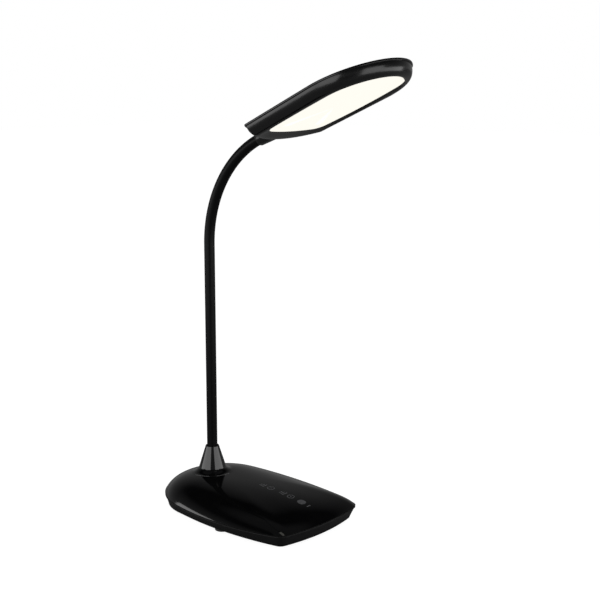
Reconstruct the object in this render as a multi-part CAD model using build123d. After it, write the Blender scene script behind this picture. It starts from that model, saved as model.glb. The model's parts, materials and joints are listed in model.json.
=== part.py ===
from build123d import *
import os
from math import asin, cos, degrees, hypot, radians, sin, sqrt, tan

# A gooseneck desk lamp. Millimetres and degrees. +X is the lamp's front, +Y its left and +Z up.
# The origin lies on the neck's axis, on the plane that the feet stand on.

# ---- base outline, seen from above -------------------------------------------------------------
BASE_FRONT_X = 148.0        # foremost point of the base
BASE_FRONT_R = 140.0        # bow of the front edge
BASE_CORNER_R = 11.0        # front corners
BASE_HALF_WIDTH = 61.8      # at the widest place
BASE_WIDE_X = 62.0          # where the base is widest
BASE_SIDE_R = 270.0         # bow of the sides
BASE_REAR_X = -45.0         # rearmost point, whose arc runs tangent into both sides

# ---- base heights and walls --------------------------------------------------------------------
FOOT_HEIGHT = 3.0           # the tray's underside above the table
RIM_Z = 13.2                # parting line of cover and tray, at mid-length
RIM_RISE = 3.2              # how far the parting line rises towards both ends
RIM_LIP = 1.3               # thickness of the tray's edge under the parting line
DOME_TOP_Z = 29.0           # crown of the cover
DOME_POWER = 2.35           # squareness of the crown's section, 2 is an ellipse
COVER_WALL = 2.2
TRAY_WALL = 2.2
TRAY_FLOOR = 2.5
TRAY_UNDERCUT = 5.2         # how far the tray's foot stands in from its edge
TRAY_EDGE_R = 1.4
TONGUE_THICK = 1.2          # a ring inside each parting line centres the two shells
TONGUE_RISE = 1.5
TONGUE_ROOT = 2.5
FIT = 0.25                  # clearance between pieces that are put together by hand
THREAD_FIT = 0.05           # clearance of a screw in its pilot hole

# ---- feet --------------------------------------------------------------------------------------
FOOT_R = 7.0
FOOT_SEAT = 0.8             # depth of the foot's pocket in the tray
FOOT_EDGE_R = 0.6
FOOT_SPOTS = [(119.0, 31.0), (60.0, 47.0), (-15.0, 29.0)]

# ---- screws of the base ------------------------------------------------------------------------
SCREW_R = 1.5
SCREW_HEAD_R = 2.9
SCREW_HEAD_H = 2.0
BOSS_R = 4.2
COVER_SCREW_SPOTS = [(100.0, 42.0), (6.0, 42.0)]
COVER_SCREW_LENGTH = 14.0
BOSS_JOIN_Z = 14.0          # where a tray post meets a cover post
SCREW_SEAT_Z = 6.0          # where the heads of the cover screws bear, inside the tray posts

# ---- counterweight -----------------------------------------------------------------------------
WEIGHT_X = (-19.0, 62.0)
WEIGHT_THICK = 5.5
WEIGHT_EDGE_GAP = 5.0       # to the tray's inner wall
WEIGHT_SCREW_SPOTS = [(-13.0, 0.0), (50.0, 36.0), (50.0, -36.0)]
WEIGHT_SCREW_LENGTH = 9.0
WEIGHT_POST_R = 3.6
WEIGHT_POST_H = 1.5

# ---- battery -----------------------------------------------------------------------------------
CELL_SIZE = (34.0, 52.0, 8.0)
CELL_X = 37.0
CRADLE_WALL = 1.6
CRADLE_FLOOR = 1.0
CRADLE_H = 6.0
CELL_EDGE_R = 1.5

# ---- control board and touch pads --------------------------------------------------------------
BOARD_X = 92.0
BOARD_SIZE = (54.0, 56.0)
BOARD_THICK = 1.6
BOARD_Z = 17.2              # underside of the board
BOARD_SCREW_INSET = 4.0
BOARD_CORNER_R = 2.0
TOUCH_XS = (72.0, 96.0, 114.0)
TOUCH_SPRING_R = 3.2
TOUCH_SPRING_WIRE_R = 0.3
TOUCH_SPRING_TURNS = 4
TOUCH_PAD_R = 4.5
TOUCH_PAD_THICK = 0.4
MARK_THICK = 0.15
TOUCH_Y = 1.6               # the row of touch marks lies a little to the left of the middle
MARK_RING_R = 3.0
MARK_LINE = 0.8             # width of the printed lines
MARK_RING_X = 4.5           # the ring's middle, ahead of its spring
MARK_BARS_X = (-6.4, -4.4, -2.4)
MARK_BAR_LENGTHS = (3.0, 4.2, 5.4)
MARK_DISC_R = 3.9
MARK_END_X = 8.2            # the single bar ahead of the disc
MARK_END_LENGTH = 3.6
CHIPS = [(-8.0, 14.0, (8.0, 8.0, 1.2)), (13.0, -14.0, (5.0, 6.0, 1.5)), (-8.0, -15.0, (7.0, 7.0, 2.4))]
SMALL_PART_SIZE = (2.0, 1.2, 0.8)
SMALL_PART_START = (-3.0, 21.0)
SMALL_PART_PITCH = 3.5
SMALL_PARTS = 6
SMALL_SCREW_R = 1.0
SMALL_SCREW_HEAD_R = 1.9
SMALL_SCREW_HEAD_H = 1.4
BOARD_SCREW_LENGTH = 7.0
BOARD_POST_R = 2.8
SOCKET_SIZE = (5.0, 6.5, 3.2)
SOCKET_YS = (-14.0, 8.5, 16.5)

# ---- DC inlet ----------------------------------------------------------------------------------
INLET_Z = 10.6
INLET_BODY = (12.0, 9.0, 8.4)
INLET_BODY_X = -31.2        # middle of the body
INLET_FACE_X = -42.6        # mouth of the nose
INLET_NOSE_R = 3.9
INLET_BORE_R = 2.85
INLET_PIN_R = 1.0
TAB_LENGTH = 2.5
TAB_THICK = 0.6
TAB_HEIGHT = 3.0
TAB_Y = 2.5
INLET_DEPTH = 9.5

# ---- collar and its fixings --------------------------------------------------------------------
COLLAR_TOP_Z = 57.0
COLLAR_TOP_R = 7.3
COLLAR_LIP_R = 0.9
COLLAR_FOOT_R = 15.0        # where the straight cone ends
COLLAR_FOOT_Z = 32.5
COLLAR_SKIRT_R = 19.5       # edge of the flared skirt
SKIRT_Z = 28.6              # upper edge of the skirt, which is cut below to lie on the cover
COLLAR_WALL = 2.0
SEAT_R = 10.5               # flat seat under the collar, on the cover
SEAT_Z = 30.0
FERRULE_R = 4.9
FERRULE_TOP_Z = 48.0
FERRULE_SOCKET_Z = 36.0     # floor of the socket that holds the conduit's end
FERRULE_FLANGE_R = 9.0
FERRULE_FLANGE_H = 2.0
SHANK_R = 4.0
SHANK_END_Z = 17.5
NUT_ACROSS_FLATS = 13.0
NUT_H = 4.0
WASHER_R = 8.0
WASHER_H = 1.0
SEAT_UNDER_Z = 24.4         # underside of the cover's seat, where the washer bears

# ---- neck --------------------------------------------------------------------------------------
TUBE_R = 5.0                # black sleeve
TUBE_BORE_R = 3.8
COIL_R = 3.65               # steel conduit inside the sleeve
COIL_NECK_R = 2.5           # the conduit next to each joint
COIL_NECK_LENGTH = 6.0
COIL_BORE_R = 1.7
LEAD_R = 1.35
STRAIGHT_LENGTH = 196.5     # from the collar's top to the start of the bend
BEND_R = 110.0
BEND_DEG = 66.2             # from upright
SLEEVE_BALL_R = 5.4
COIL_BALL_R = 3.1
BALL_GAP = 0.3
LEAD_AHEAD = 4.0            # a link's lead starts this far past its lower joint
LEAD_BACK = 0.5             # and ends this far before the next
NECK_LEAD_LOW_Z = 17.5      # where the lead comes out of the lower ferrule
NECK_LENGTH = STRAIGHT_LENGTH + BEND_R * radians(BEND_DEG)
# Place of each joint, as a share of the neck's length from the collar's top, and the way it bends:
# L and U bend in the lamp's plane, S leans to the side.
JOINT_SHARES = [(0.062, "L"), (0.161, "S"), (0.260, "L"), (0.358, "S"), (0.457, "L"),
                (0.575, "U"), (0.686, "U"), (0.797, "U"), (0.909, "U")]
JOINTS = [(share * NECK_LENGTH, way) for share, way in JOINT_SHARES]

# ---- head, in its own frame: x forward, z up, origin in the centre of the lit face --------------
HEAD_NOSE_X = -96.5         # where the neck goes in
HEAD_AXIS_Z = 7.7           # height of the neck's axis over the lit face
LIP_Z = 10.6                # upper edge of the rim
LIP_THICK = 1.9
HEAD_DEEP_Z = -2.2          # lowest face, around the panel
HEAD_FRONT_X = 71.4
HEAD_FRONT_R = 52.8
HEAD_CORNER = (-65.0, 48.6)
HEAD_REAR_SAG = 16.0        # bulge of the rear edge between its corners
HEAD_ROUND = 10.6           # rounding of the lower shell's edge
HEAD_OVERHANG = 0.9         # the upper shell stands out this far over the lower one
HEAD_WALL = 2.0
HEAD_CROWN = 6.5            # height of the upper shell over its edge
HEAD_TONGUE_RISE = 1.5
NOSE_TIP_R = 6.3
NOSE_WIDE_R = 7.6
NOSE_WIDE_X = -74.0
NOSE_END_R = 6.4
NOSE_END_X = -58.0
NOSE_SOCKET = 7.0           # how deep the sleeve goes in
BULKHEAD_X = -78.0          # wall inside the nose that the upper nut pulls against
BULKHEAD_THICK = 3.0
NOSE_CAVITY_R = 6.0
UPPER_SHANK_R = 3.4
UPPER_SHANK_END_X = -63.0
UPPER_NUT_ACROSS_FLATS = 10.0
UPPER_NUT_H = 4.0
UPPER_SOCKET = 3.0          # how deep the conduit goes into the upper ferrule
NOTCH_FIT = 0.15            # around the nose, in the upper shell

# ---- lit panel ---------------------------------------------------------------------------------
PANEL_FRONT_X = 59.2
PANEL_FRONT_R = 95.0
PANEL_FRONT_CORNER_R = 26.0
PANEL_HALF_WIDTH = 38.6
PANEL_WIDE_X = 0.0
PANEL_SIDE_R = 330.0
PANEL_REAR_X = -59.6
PANEL_REAR_R = 150.0
PANEL_REAR_CORNER_R = 11.0
PANEL_LEDGE = 1.6           # width of the ledge that carries the diffuser
DIFFUSER_THICK = 2.0
DIFFUSER_STEP = 1.0
LEDGE_Z = 1.0
FLOOR_EDGE = 1.6            # the shell's floor around the ledge
LOCATING_RISE = 2.0         # a low ring that centres the diffuser and the reflector
DIFFUSER_FIT = 0.1
TOP_WALL = 1.8
LED_BOARD_REAR_X = -56.0
REFLECTOR_TOP_Z = 5.6
REFLECTOR_WALL = 1.2
LED_BOARD_THICK = 1.4
LED_SIZE = (3.0, 3.0, 0.8)
LED_ROWS = 4
LED_COLUMNS = 7
LED_PITCH = (15.0, 15.0)
LED_SCREW_LENGTH = 6.0
LED_BOSS_R = 2.8
LED_BOSS_SPOTS = [(37.5, 15.0), (-37.5, 15.0)]
REFLECTOR_SHEET = 0.6

# ---- leads -------------------------------------------------------------------------------------
WIRE_R = 0.8
PLUG_RUN = 5.5              # straight run of a lead into its socket
# Routes of the leads in the base: x, y and the rise over the counterweight.
FEED_LIFT = 1.5
FEED_ROUTE = [(-10.0, 20.0, 0.8), (6.0, 32.0, 0.0), (36.0, 32.2, 0.0), (58.5, 30.0, 1.6)]
LAMP_ROUTE = [(0.0, -0.9, 1.3), (2.0, -7.0, 0.0), (12.0, -31.0, 0.0), (36.0, -31.6, 0.0),
              (59.5, -31.5, 2.2)]
# Leads in the head: from the end of the neck's shank, and on the LED board from its rear edge.
HEAD_LEAD_START = [(1.0, 0.5, 0.3), (5.0, 2.0, 1.5)]
HEAD_LEAD_END = [(3.0, 3.5, 0.5), (7.0, 3.5, 0.05)]


# ================================= outlines ======================================================
def on_circle(centre, radius, towards):
    """The point of a circle that lies in the direction of another point."""
    dx, dy = towards[0] - centre[0], towards[1] - centre[1]
    length = hypot(dx, dy)
    return centre[0] + radius * dx / length, centre[1] + radius * dy / length


def mirrored(point):
    return point[0], -point[1]


def short_arc(centre, radius, start, end):
    """The shorter arc about a centre, between the directions of two points."""
    a, b = on_circle(centre, radius, start), on_circle(centre, radius, end)
    middle = on_circle(centre, radius, ((a[0] + b[0]) / 2, (a[1] + b[1]) / 2))
    return ThreePointArc(a, middle, b)


def corner_circle(first, second, radius):
    """The circle on the +Y side that touches two larger circles from inside."""
    (c1, r1), (c2, r2) = first, second
    d1, d2 = r1 - radius, r2 - radius
    dx, dy = c2[0] - c1[0], c2[1] - c1[1]
    d = hypot(dx, dy)
    along = (d1 * d1 - d2 * d2 + d * d) / (2 * d)
    across = sqrt(d1 * d1 - along * along)
    centres = [(c1[0] + (along * dx - side * across * dy) / d,
                c1[1] + (along * dy + side * across * dx) / d) for side in (1, -1)]
    return max(centres, key=lambda point: point[1]), radius


def touching_point(first, second):
    """Where two circles touch, one inside the other."""
    large, small = (first, second) if first[1] > second[1] else (second, first)
    return on_circle(large[0], large[1], small[0])


def closed_by_arcs(circles, inset):
    """A face bounded by tangent arcs. The circles run along the +Y half, from front to rear."""
    joints = [touching_point(a, b) for a, b in zip(circles, circles[1:])]
    radii = [radius - inset for _, radius in circles]
    edges = [short_arc(circles[0][0], radii[0], mirrored(joints[0]), joints[0])]
    inner = list(zip(circles[1:-1], radii[1:-1], joints, joints[1:]))
    edges += [short_arc(circle[0], radius, a, b) for circle, radius, a, b in inner]
    edges.append(short_arc(circles[-1][0], radii[-1], joints[-1], mirrored(joints[-1])))
    edges += [short_arc(mirrored(circle[0]), radius, mirrored(b), mirrored(a))
              for circle, radius, a, b in reversed(inner)]
    return make_face(edges)


def base_outline(inset=0.0):
    """The base seen from above: bowed front and sides, small front corners and a round rear."""
    front = ((BASE_FRONT_X - BASE_FRONT_R, 0.0), BASE_FRONT_R)
    side = ((BASE_WIDE_X, BASE_HALF_WIDTH - BASE_SIDE_R), BASE_SIDE_R)
    reach = BASE_WIDE_X - BASE_REAR_X
    rear_r = (BASE_SIDE_R**2 - reach**2 - side[0][1] ** 2) / (2 * (BASE_SIDE_R - reach))
    rear = ((BASE_REAR_X + rear_r, 0.0), rear_r)
    return closed_by_arcs([front, corner_circle(front, side, BASE_CORNER_R), side, rear], inset)


def panel_outline(inset=0.0):
    """The lit panel: a long, slightly bowed shape with large front corners."""
    front = ((PANEL_FRONT_X - PANEL_FRONT_R, 0.0), PANEL_FRONT_R)
    side = ((PANEL_WIDE_X, PANEL_HALF_WIDTH - PANEL_SIDE_R), PANEL_SIDE_R)
    rear = ((PANEL_REAR_X + PANEL_REAR_R, 0.0), PANEL_REAR_R)
    return closed_by_arcs([front, corner_circle(front, side, PANEL_FRONT_CORNER_R), side,
                           corner_circle(rear, side, PANEL_REAR_CORNER_R), rear], inset)


def head_outline(inset=0.0):
    """The head seen from above: a round front, straight sides and a bowed rear edge."""
    front_x = HEAD_FRONT_X - HEAD_FRONT_R
    x, y = HEAD_CORNER
    distance = hypot(front_x - x, y)
    slope = asin(HEAD_FRONT_R / distance) - asin(y / distance)
    rear_r = (y * y + HEAD_REAR_SAG**2) / (2 * HEAD_REAR_SAG)
    rear_x = x - HEAD_REAR_SAG + rear_r
    tangent = (front_x - (HEAD_FRONT_R - inset) * sin(slope), (HEAD_FRONT_R - inset) * cos(slope))
    # The side's line, moved inwards, runs back from the tangent point to the rear circle.
    dx, dy = tangent[0] - rear_x, tangent[1]
    along = dx * cos(slope) + dy * sin(slope)
    run = along + sqrt(along**2 - (dx * dx + dy * dy) + (rear_r - inset) ** 2)
    corner = (tangent[0] - run * cos(slope), tangent[1] - run * sin(slope))
    return make_face([
        ThreePointArc(mirrored(tangent), (HEAD_FRONT_X - inset, 0.0), tangent),
        Line(tangent, corner),
        ThreePointArc(corner, (rear_x - rear_r + inset, 0.0), mirrored(corner)),
        Line(mirrored(corner), mirrored(tangent)),
    ])


def slab(face, low, high):
    """A flat outline made solid between two heights."""
    return Pos(0, 0, low) * extrude(face, high - low)


def pillow(face, low, height_at, shares):
    """A crowned body in flat-sided rings: the outline shrinks towards its middle as it rises."""
    box = face.bounding_box()
    middle = (box.min.X + box.max.X) / 2
    rings = [Pos(middle * (1 - share), 0, low + height_at(share)) * scale(face, by=share)
             for share in shares]
    return loft(rings, ruled=True)


def post(x, y, low, high, radius):
    return Pos(x, y, low) * Cylinder(radius, high - low, align=(Align.CENTER, Align.CENTER, Align.MIN))


def block(x, y, low, size):
    return Pos(x, y, low) * Box(*size, align=(Align.CENTER, Align.CENTER, Align.MIN))


def both_sides(spots):
    return [(x, side * y) for x, y in spots for side in ((1, -1) if y else (1,))]


def screw(x, y, seat, length, radius, head_r, head_h, up=True):
    """A pan-head screw. Its head lies under its seat and its shank points up, or the other way."""
    turn = 1 if up else -1
    shank = post(0, 0, 0, length, radius)
    head = post(0, 0, -head_h, 0, head_r)
    slot = Box(head_r * 1.3, head_r * 0.25, head_h, align=(Align.CENTER, Align.CENTER, Align.MIN))
    cross = Pos(0, 0, -head_h - head_h / 2) * (slot + Rot(0, 0, 90) * slot)
    body = shank + head - cross
    return Pos(x, y, seat) * (body if turn > 0 else Rot(180, 0, 0) * body)


def wire(points, radius, shares=0.45):
    """A lead of straight runs and tangent arcs through a few points."""
    vectors = [Vector(*point) for point in points]
    radii = []
    for a, b, c in zip(vectors, vectors[1:], vectors[2:]):
        turn = (b - a).get_angle(c - b)
        run = min((b - a).length, (c - b).length)
        radii.append(shares * run / tan(radians(turn) / 2))
    path = FilletPolyline(*points, radius=radii) if radii else Line(*points)
    return sweep(Plane(path @ 0, z_dir=path % 0) * Circle(radius), path=path)


# ================================= base ==========================================================
CROWN_ANGLES = range(0, 90, 9)
BASE_MIDDLE_X = (BASE_FRONT_X + BASE_REAR_X) / 2
BASE_HALF_LENGTH = (BASE_FRONT_X - BASE_REAR_X) / 2
FLOOR_Z = FOOT_HEIGHT + TRAY_FLOOR
RIM_END_Z = RIM_Z + RIM_RISE
WEIGHT_Z = FLOOR_Z + WEIGHT_POST_H
WEIGHT_TOP_Z = WEIGHT_Z + WEIGHT_THICK
CELL_Z = WEIGHT_TOP_Z + CRADLE_FLOOR
BOARD_TOP_Z = BOARD_Z + BOARD_THICK
BOARD_REAR_X = BOARD_X - BOARD_SIZE[0] / 2


def crown(share, power):
    """Height of a superellipse at a share of its half-width, as a share of its full height."""
    return (1 - share**power) ** (1 / power)


def base_body(inset=0.0):
    """The closed outer shape of the base, or the same shape inside a wall."""
    rise = DOME_TOP_Z - inset - RIM_Z
    outline = base_outline(inset)
    shares = [cos(radians(angle)) ** (2 / DOME_POWER) for angle in CROWN_ANGLES]
    dome = pillow(outline, RIM_Z, lambda share: rise * crown(share, DOME_POWER), shares)
    return dome + slab(outline, FOOT_HEIGHT, RIM_Z)


def under_rim(lift=0.0):
    """All that lies under the parting line, a long arc that rises towards both ends."""
    radius = (BASE_HALF_LENGTH**2 + RIM_RISE**2) / (2 * RIM_RISE)
    reach = BASE_HALF_LENGTH * 1.2
    end_z = RIM_Z + lift + radius - sqrt(radius**2 - reach**2)
    left, right = BASE_MIDDLE_X - reach, BASE_MIDDLE_X + reach
    side = make_face([
        ThreePointArc((left, end_z), (BASE_MIDDLE_X, RIM_Z + lift), (right, end_z)),
        Line((right, end_z), (right, 0)),
        Line((right, 0), (left, 0)),
        Line((left, 0), (left, end_z)),
    ])
    return extrude(Plane.XZ * side, BASE_HALF_WIDTH * 1.2, both=True)


def make_base_cover():
    shell = base_body() - base_body(COVER_WALL)
    shell += post(0, 0, SEAT_UNDER_Z, SEAT_Z, SEAT_R)
    shell -= under_rim()
    core = base_body(COVER_WALL / 2)
    for x, y in both_sides(COVER_SCREW_SPOTS):
        shell += post(x, y, BOSS_JOIN_Z, DOME_TOP_Z, BOSS_R) & core
    for x, y in both_sides(COVER_SCREW_SPOTS):
        shell -= post(x, y, 0, SCREW_SEAT_Z + COVER_SCREW_LENGTH + 0.5, SCREW_R + THREAD_FIT)
    return shell - post(0, 0, 0, SEAT_Z + 1, SHANK_R + FIT)


def make_base_tray():
    envelope = base_body()
    under = under_rim()
    body = loft([Pos(0, 0, FOOT_HEIGHT) * base_outline(TRAY_UNDERCUT),
                 Pos(0, 0, RIM_END_Z) * base_outline()])
    body = fillet(body.edges().group_by(Axis.Z)[0], TRAY_EDGE_R)
    cavity = loft([Pos(0, 0, FLOOR_Z) * base_outline(TRAY_UNDERCUT + TRAY_WALL),
                   Pos(0, 0, RIM_END_Z) * base_outline(TRAY_WALL)])
    lip = (envelope & under) - under_rim(-RIM_LIP)
    ring_in = COVER_WALL + FIT
    tongue = base_body(ring_in) - base_body(ring_in + TONGUE_THICK)
    tongue = (tongue & under_rim(TONGUE_RISE)) - under_rim(-TONGUE_ROOT)
    tray = ((body & under & envelope) + lip - cavity) + tongue
    for x, y in both_sides(COVER_SCREW_SPOTS):
        tray += post(x, y, FLOOR_Z, BOSS_JOIN_Z, BOSS_R)
    for x, y in WEIGHT_SCREW_SPOTS:
        tray += post(x, y, FLOOR_Z, WEIGHT_Z, WEIGHT_POST_R)
    for x, y in board_screw_spots():
        tray += post(x, y, FLOOR_Z, BOARD_Z, BOARD_POST_R)
    length, width, height = INLET_BODY
    tray += block(INLET_BODY_X, 0, FLOOR_Z, (length, width, INLET_Z - height / 2 - FLOOR_Z))
    for x, y in both_sides(COVER_SCREW_SPOTS):
        tray -= post(x, y, 0, SCREW_SEAT_Z, SCREW_HEAD_R + FIT)
        tray -= post(x, y, 0, BOSS_JOIN_Z, SCREW_R + FIT)
    for x, y in both_sides(FOOT_SPOTS):
        tray -= post(x, y, 0, FOOT_HEIGHT + FOOT_SEAT, FOOT_R)
    for x, y in WEIGHT_SCREW_SPOTS:
        tray -= post(x, y, WEIGHT_TOP_Z - WEIGHT_SCREW_LENGTH, WEIGHT_Z, SCREW_R + THREAD_FIT)
    for x, y in board_screw_spots():
        tray -= post(x, y, BOARD_TOP_Z - BOARD_SCREW_LENGTH, BOARD_Z, SMALL_SCREW_R + THREAD_FIT)
    return tray - Pos(INLET_FACE_X, 0, INLET_Z) * Rot(0, 90, 0) * Cylinder(INLET_NOSE_R + FIT / 2, 16)


def make_feet():
    foot = post(0, 0, 0, FOOT_HEIGHT + FOOT_SEAT, FOOT_R)
    foot = fillet(foot.edges().group_by(Axis.Z)[0], FOOT_EDGE_R)
    return [Pos(x, y, 0) * foot for x, y in both_sides(FOOT_SPOTS)]


def make_counterweight():
    low_x, high_x = WEIGHT_X
    plate = slab(base_outline(TRAY_UNDERCUT + TRAY_WALL + WEIGHT_EDGE_GAP), WEIGHT_Z, WEIGHT_TOP_Z)
    size = (high_x - low_x, 2 * BASE_HALF_WIDTH, WEIGHT_THICK)
    plate &= block((low_x + high_x) / 2, 0, WEIGHT_Z, size)
    for x, y in both_sides(COVER_SCREW_SPOTS):
        plate -= post(x, y, WEIGHT_Z, WEIGHT_TOP_Z, BOSS_R + 2 * FIT)
    for x, y in WEIGHT_SCREW_SPOTS:
        plate -= post(x, y, WEIGHT_Z, WEIGHT_TOP_Z, SCREW_R + FIT)
    return plate


def make_cradle():
    length, width, height = CELL_SIZE
    side = 2 * (CRADLE_WALL + FIT)
    frame = block(CELL_X, 0, WEIGHT_TOP_Z, (length + side, width + side, CRADLE_H))
    frame -= block(CELL_X, 0, CELL_Z, (length + 2 * FIT, width + 2 * FIT, CRADLE_H))
    return frame - block(CELL_X, 0, CELL_Z, (length / 2, width + 2 * side, CRADLE_H))


def make_cell():
    cell = block(CELL_X, 0, CELL_Z, CELL_SIZE)
    return fillet(cell.edges().filter_by(Axis.Y), CELL_EDGE_R)


def make_weight_screws():
    return [screw(x, y, WEIGHT_TOP_Z, WEIGHT_SCREW_LENGTH, SCREW_R, SCREW_HEAD_R, SCREW_HEAD_H, False)
            for x, y in WEIGHT_SCREW_SPOTS]


def make_cover_screws():
    return [screw(x, y, SCREW_SEAT_Z, COVER_SCREW_LENGTH, SCREW_R, SCREW_HEAD_R, SCREW_HEAD_H)
            for x, y in both_sides(COVER_SCREW_SPOTS)]


# ---- electronics in the base ---------------------------------------------------------------------
def board_screw_spots():
    dx, dy = BOARD_SIZE[0] / 2 - BOARD_SCREW_INSET, BOARD_SIZE[1] / 2 - BOARD_SCREW_INSET
    return [(BOARD_X + sx * dx, sy * dy) for sx in (-1, 1) for sy in (-1, 1)]


def make_control_board():
    board = block(BOARD_X, 0, BOARD_Z, (*BOARD_SIZE, BOARD_THICK))
    board = fillet(board.edges().filter_by(Axis.Z), BOARD_CORNER_R)
    for x, y in board_screw_spots():
        board -= post(x, y, BOARD_Z, BOARD_TOP_Z, SMALL_SCREW_R + FIT)
    return board


def make_board_parts():
    """Chips, a choke, a row of small parts and three sockets for the leads."""
    pieces = [block(BOARD_X + x, y, BOARD_TOP_Z, size) for x, y, size in CHIPS]
    x, y = SMALL_PART_START
    pieces += [block(BOARD_X + x + SMALL_PART_PITCH * i, y, BOARD_TOP_Z, SMALL_PART_SIZE)
               for i in range(SMALL_PARTS)]
    pieces += [block(BOARD_REAR_X + SOCKET_SIZE[0] / 2, y, BOARD_TOP_Z, SOCKET_SIZE) for y in SOCKET_YS]
    return pieces


def make_board_screws():
    return [screw(x, y, BOARD_TOP_Z, BOARD_SCREW_LENGTH, SMALL_SCREW_R, SMALL_SCREW_HEAD_R,
                  SMALL_SCREW_HEAD_H, False) for x, y in board_screw_spots()]


def inside_height(x):
    """Height of the cover's inner face over the lamp's middle line."""
    share = abs(x - BASE_MIDDLE_X) / (BASE_HALF_LENGTH - COVER_WALL)
    return RIM_Z + (DOME_TOP_Z - COVER_WALL - RIM_Z) * crown(share, DOME_POWER)


def make_touch_springs():
    pieces = []
    for x in TOUCH_XS:
        pad_z = inside_height(x + TOUCH_PAD_R) - TOUCH_PAD_THICK - FIT
        rise = pad_z - BOARD_TOP_Z - 2 * TOUCH_SPRING_WIRE_R
        turns = Helix(rise / TOUCH_SPRING_TURNS, rise, TOUCH_SPRING_R)
        section = Plane(turns @ 0, z_dir=turns % 0) * Circle(TOUCH_SPRING_WIRE_R)
        pieces.append(Pos(x, TOUCH_Y, BOARD_TOP_Z + TOUCH_SPRING_WIRE_R)
                      * sweep(section, path=turns, is_frenet=True))
        pieces.append(post(x, TOUCH_Y, pad_z, pad_z + TOUCH_PAD_THICK, TOUCH_PAD_R))
    return pieces


def make_touch_marks():
    """Printed signs over the touch springs, a hair proud of the cover: bars with a ring, and a disc."""
    signs = []
    ring = Circle(MARK_RING_R) - Circle(MARK_RING_R - MARK_LINE)
    for x in TOUCH_XS[:2]:
        signs.append(Pos(x + MARK_RING_X, TOUCH_Y) * ring)
        signs.append(Pos(x + MARK_RING_X, TOUCH_Y) * Circle(MARK_LINE))
        signs += [Pos(x + bar_x, TOUCH_Y) * Rectangle(MARK_LINE, length)
                  for bar_x, length in zip(MARK_BARS_X, MARK_BAR_LENGTHS)]
    signs.append(Pos(TOUCH_XS[2], TOUCH_Y) * Circle(MARK_DISC_R))
    signs.append(Pos(TOUCH_XS[2] + MARK_END_X, TOUCH_Y) * Rectangle(MARK_LINE, MARK_END_LENGTH))
    body = base_body()
    raised = Pos(0, 0, MARK_THICK) * body
    return [(slab(sign, RIM_END_Z, DOME_TOP_Z + 1) & raised) - body for sign in signs]


def make_dc_inlet():
    along = Pos(INLET_FACE_X, 0, INLET_Z) * Rot(0, 90, 0)
    nose_length = INLET_BODY_X - INLET_FACE_X
    body = block(INLET_BODY_X, 0, INLET_Z - INLET_BODY[2] / 2, INLET_BODY)
    body += along * post(0, 0, 0, nose_length, INLET_NOSE_R)
    return body - along * post(0, 0, 0, INLET_DEPTH, INLET_BORE_R)


def make_inlet_contacts():
    along = Pos(INLET_FACE_X, 0, INLET_Z) * Rot(0, 90, 0)
    back_x = INLET_BODY_X + INLET_BODY[0] / 2
    pieces = [along * post(0, 0, 1.0, INLET_DEPTH, INLET_PIN_R)]
    size = (TAB_LENGTH, TAB_THICK, TAB_HEIGHT)
    pieces += [block(back_x + TAB_LENGTH / 2, y, INLET_Z - TAB_HEIGHT / 2, size) for y in (-TAB_Y, TAB_Y)]
    return pieces


def make_base_wires():
    """Leads from the inlet, the battery and the neck to the sockets on the board."""
    tab_x = INLET_BODY_X + INLET_BODY[0] / 2 + TAB_LENGTH / 2
    plug_z = BOARD_TOP_Z + SOCKET_SIZE[2] / 2
    lamp_y, battery_y, feed_y = SOCKET_YS
    low = WEIGHT_TOP_Z + 2 * WIRE_R + FIT
    feed = [(tab_x, TAB_Y, INLET_Z + TAB_HEIGHT / 2), (tab_x, TAB_Y, low + FEED_LIFT)]
    feed += [(x, y, low + rise) for x, y, rise in FEED_ROUTE]
    feed += [(BOARD_REAR_X - PLUG_RUN, feed_y, plug_z), (BOARD_REAR_X, feed_y, plug_z)]
    power = [(CELL_X + CELL_SIZE[0] / 2, battery_y, plug_z), (BOARD_REAR_X, battery_y, plug_z)]
    low = WEIGHT_TOP_Z + LEAD_R + FIT
    lamp = [(0, 0, NECK_LEAD_LOW_Z)] + [(x, y, low + rise) for x, y, rise in LAMP_ROUTE]
    lamp += [(BOARD_REAR_X - PLUG_RUN, lamp_y, plug_z), (BOARD_REAR_X, lamp_y, plug_z)]
    inside = tube(NECK_LEAD_LOW_Z - COLLAR_TOP_Z, JOINTS[0][0] - LEAD_BACK, LEAD_R)
    return [wire(feed, WIRE_R), wire(power, WIRE_R), wire(lamp, LEAD_R) + inside]


# ================================= neck ==========================================================
BEND_Z = COLLAR_TOP_Z + STRAIGHT_LENGTH
BEND_AXIS = Axis((BEND_R, 0, BEND_Z), (0, 1, 0))


def neck_place(distance):
    """A frame on the neck's middle line, with its z axis along the neck."""
    if distance <= STRAIGHT_LENGTH:
        return Pos(0, 0, COLLAR_TOP_Z + distance)
    turned = min((distance - STRAIGHT_LENGTH) / BEND_R, radians(BEND_DEG))
    past = max(distance - NECK_LENGTH, 0)
    x = BEND_R * (1 - cos(turned)) + past * sin(turned)
    z = BEND_Z + BEND_R * sin(turned) + past * cos(turned)
    return Pos(x, 0, z) * Rot(0, degrees(turned), 0)


def tube(low, high, radius):
    """A round bar along the neck's middle line, between two distances from the collar's top."""
    pieces = []
    if low < STRAIGHT_LENGTH:
        end = min(high, STRAIGHT_LENGTH)
        pieces.append(post(0, 0, COLLAR_TOP_Z + low, COLLAR_TOP_Z + end, radius))
    start, end = max(low, STRAIGHT_LENGTH), min(high, NECK_LENGTH)
    if end > start:
        turn = degrees((end - start) / BEND_R)
        pieces.append(revolve(neck_place(start) * Circle(radius), BEND_AXIS, turn))
    start = max(low, NECK_LENGTH)
    if high > start:
        pieces.append(neck_place(start) * post(0, 0, 0, high - start, radius))
    body = pieces[0]
    for piece in pieces[1:]:
        body += piece
    return body


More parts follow.
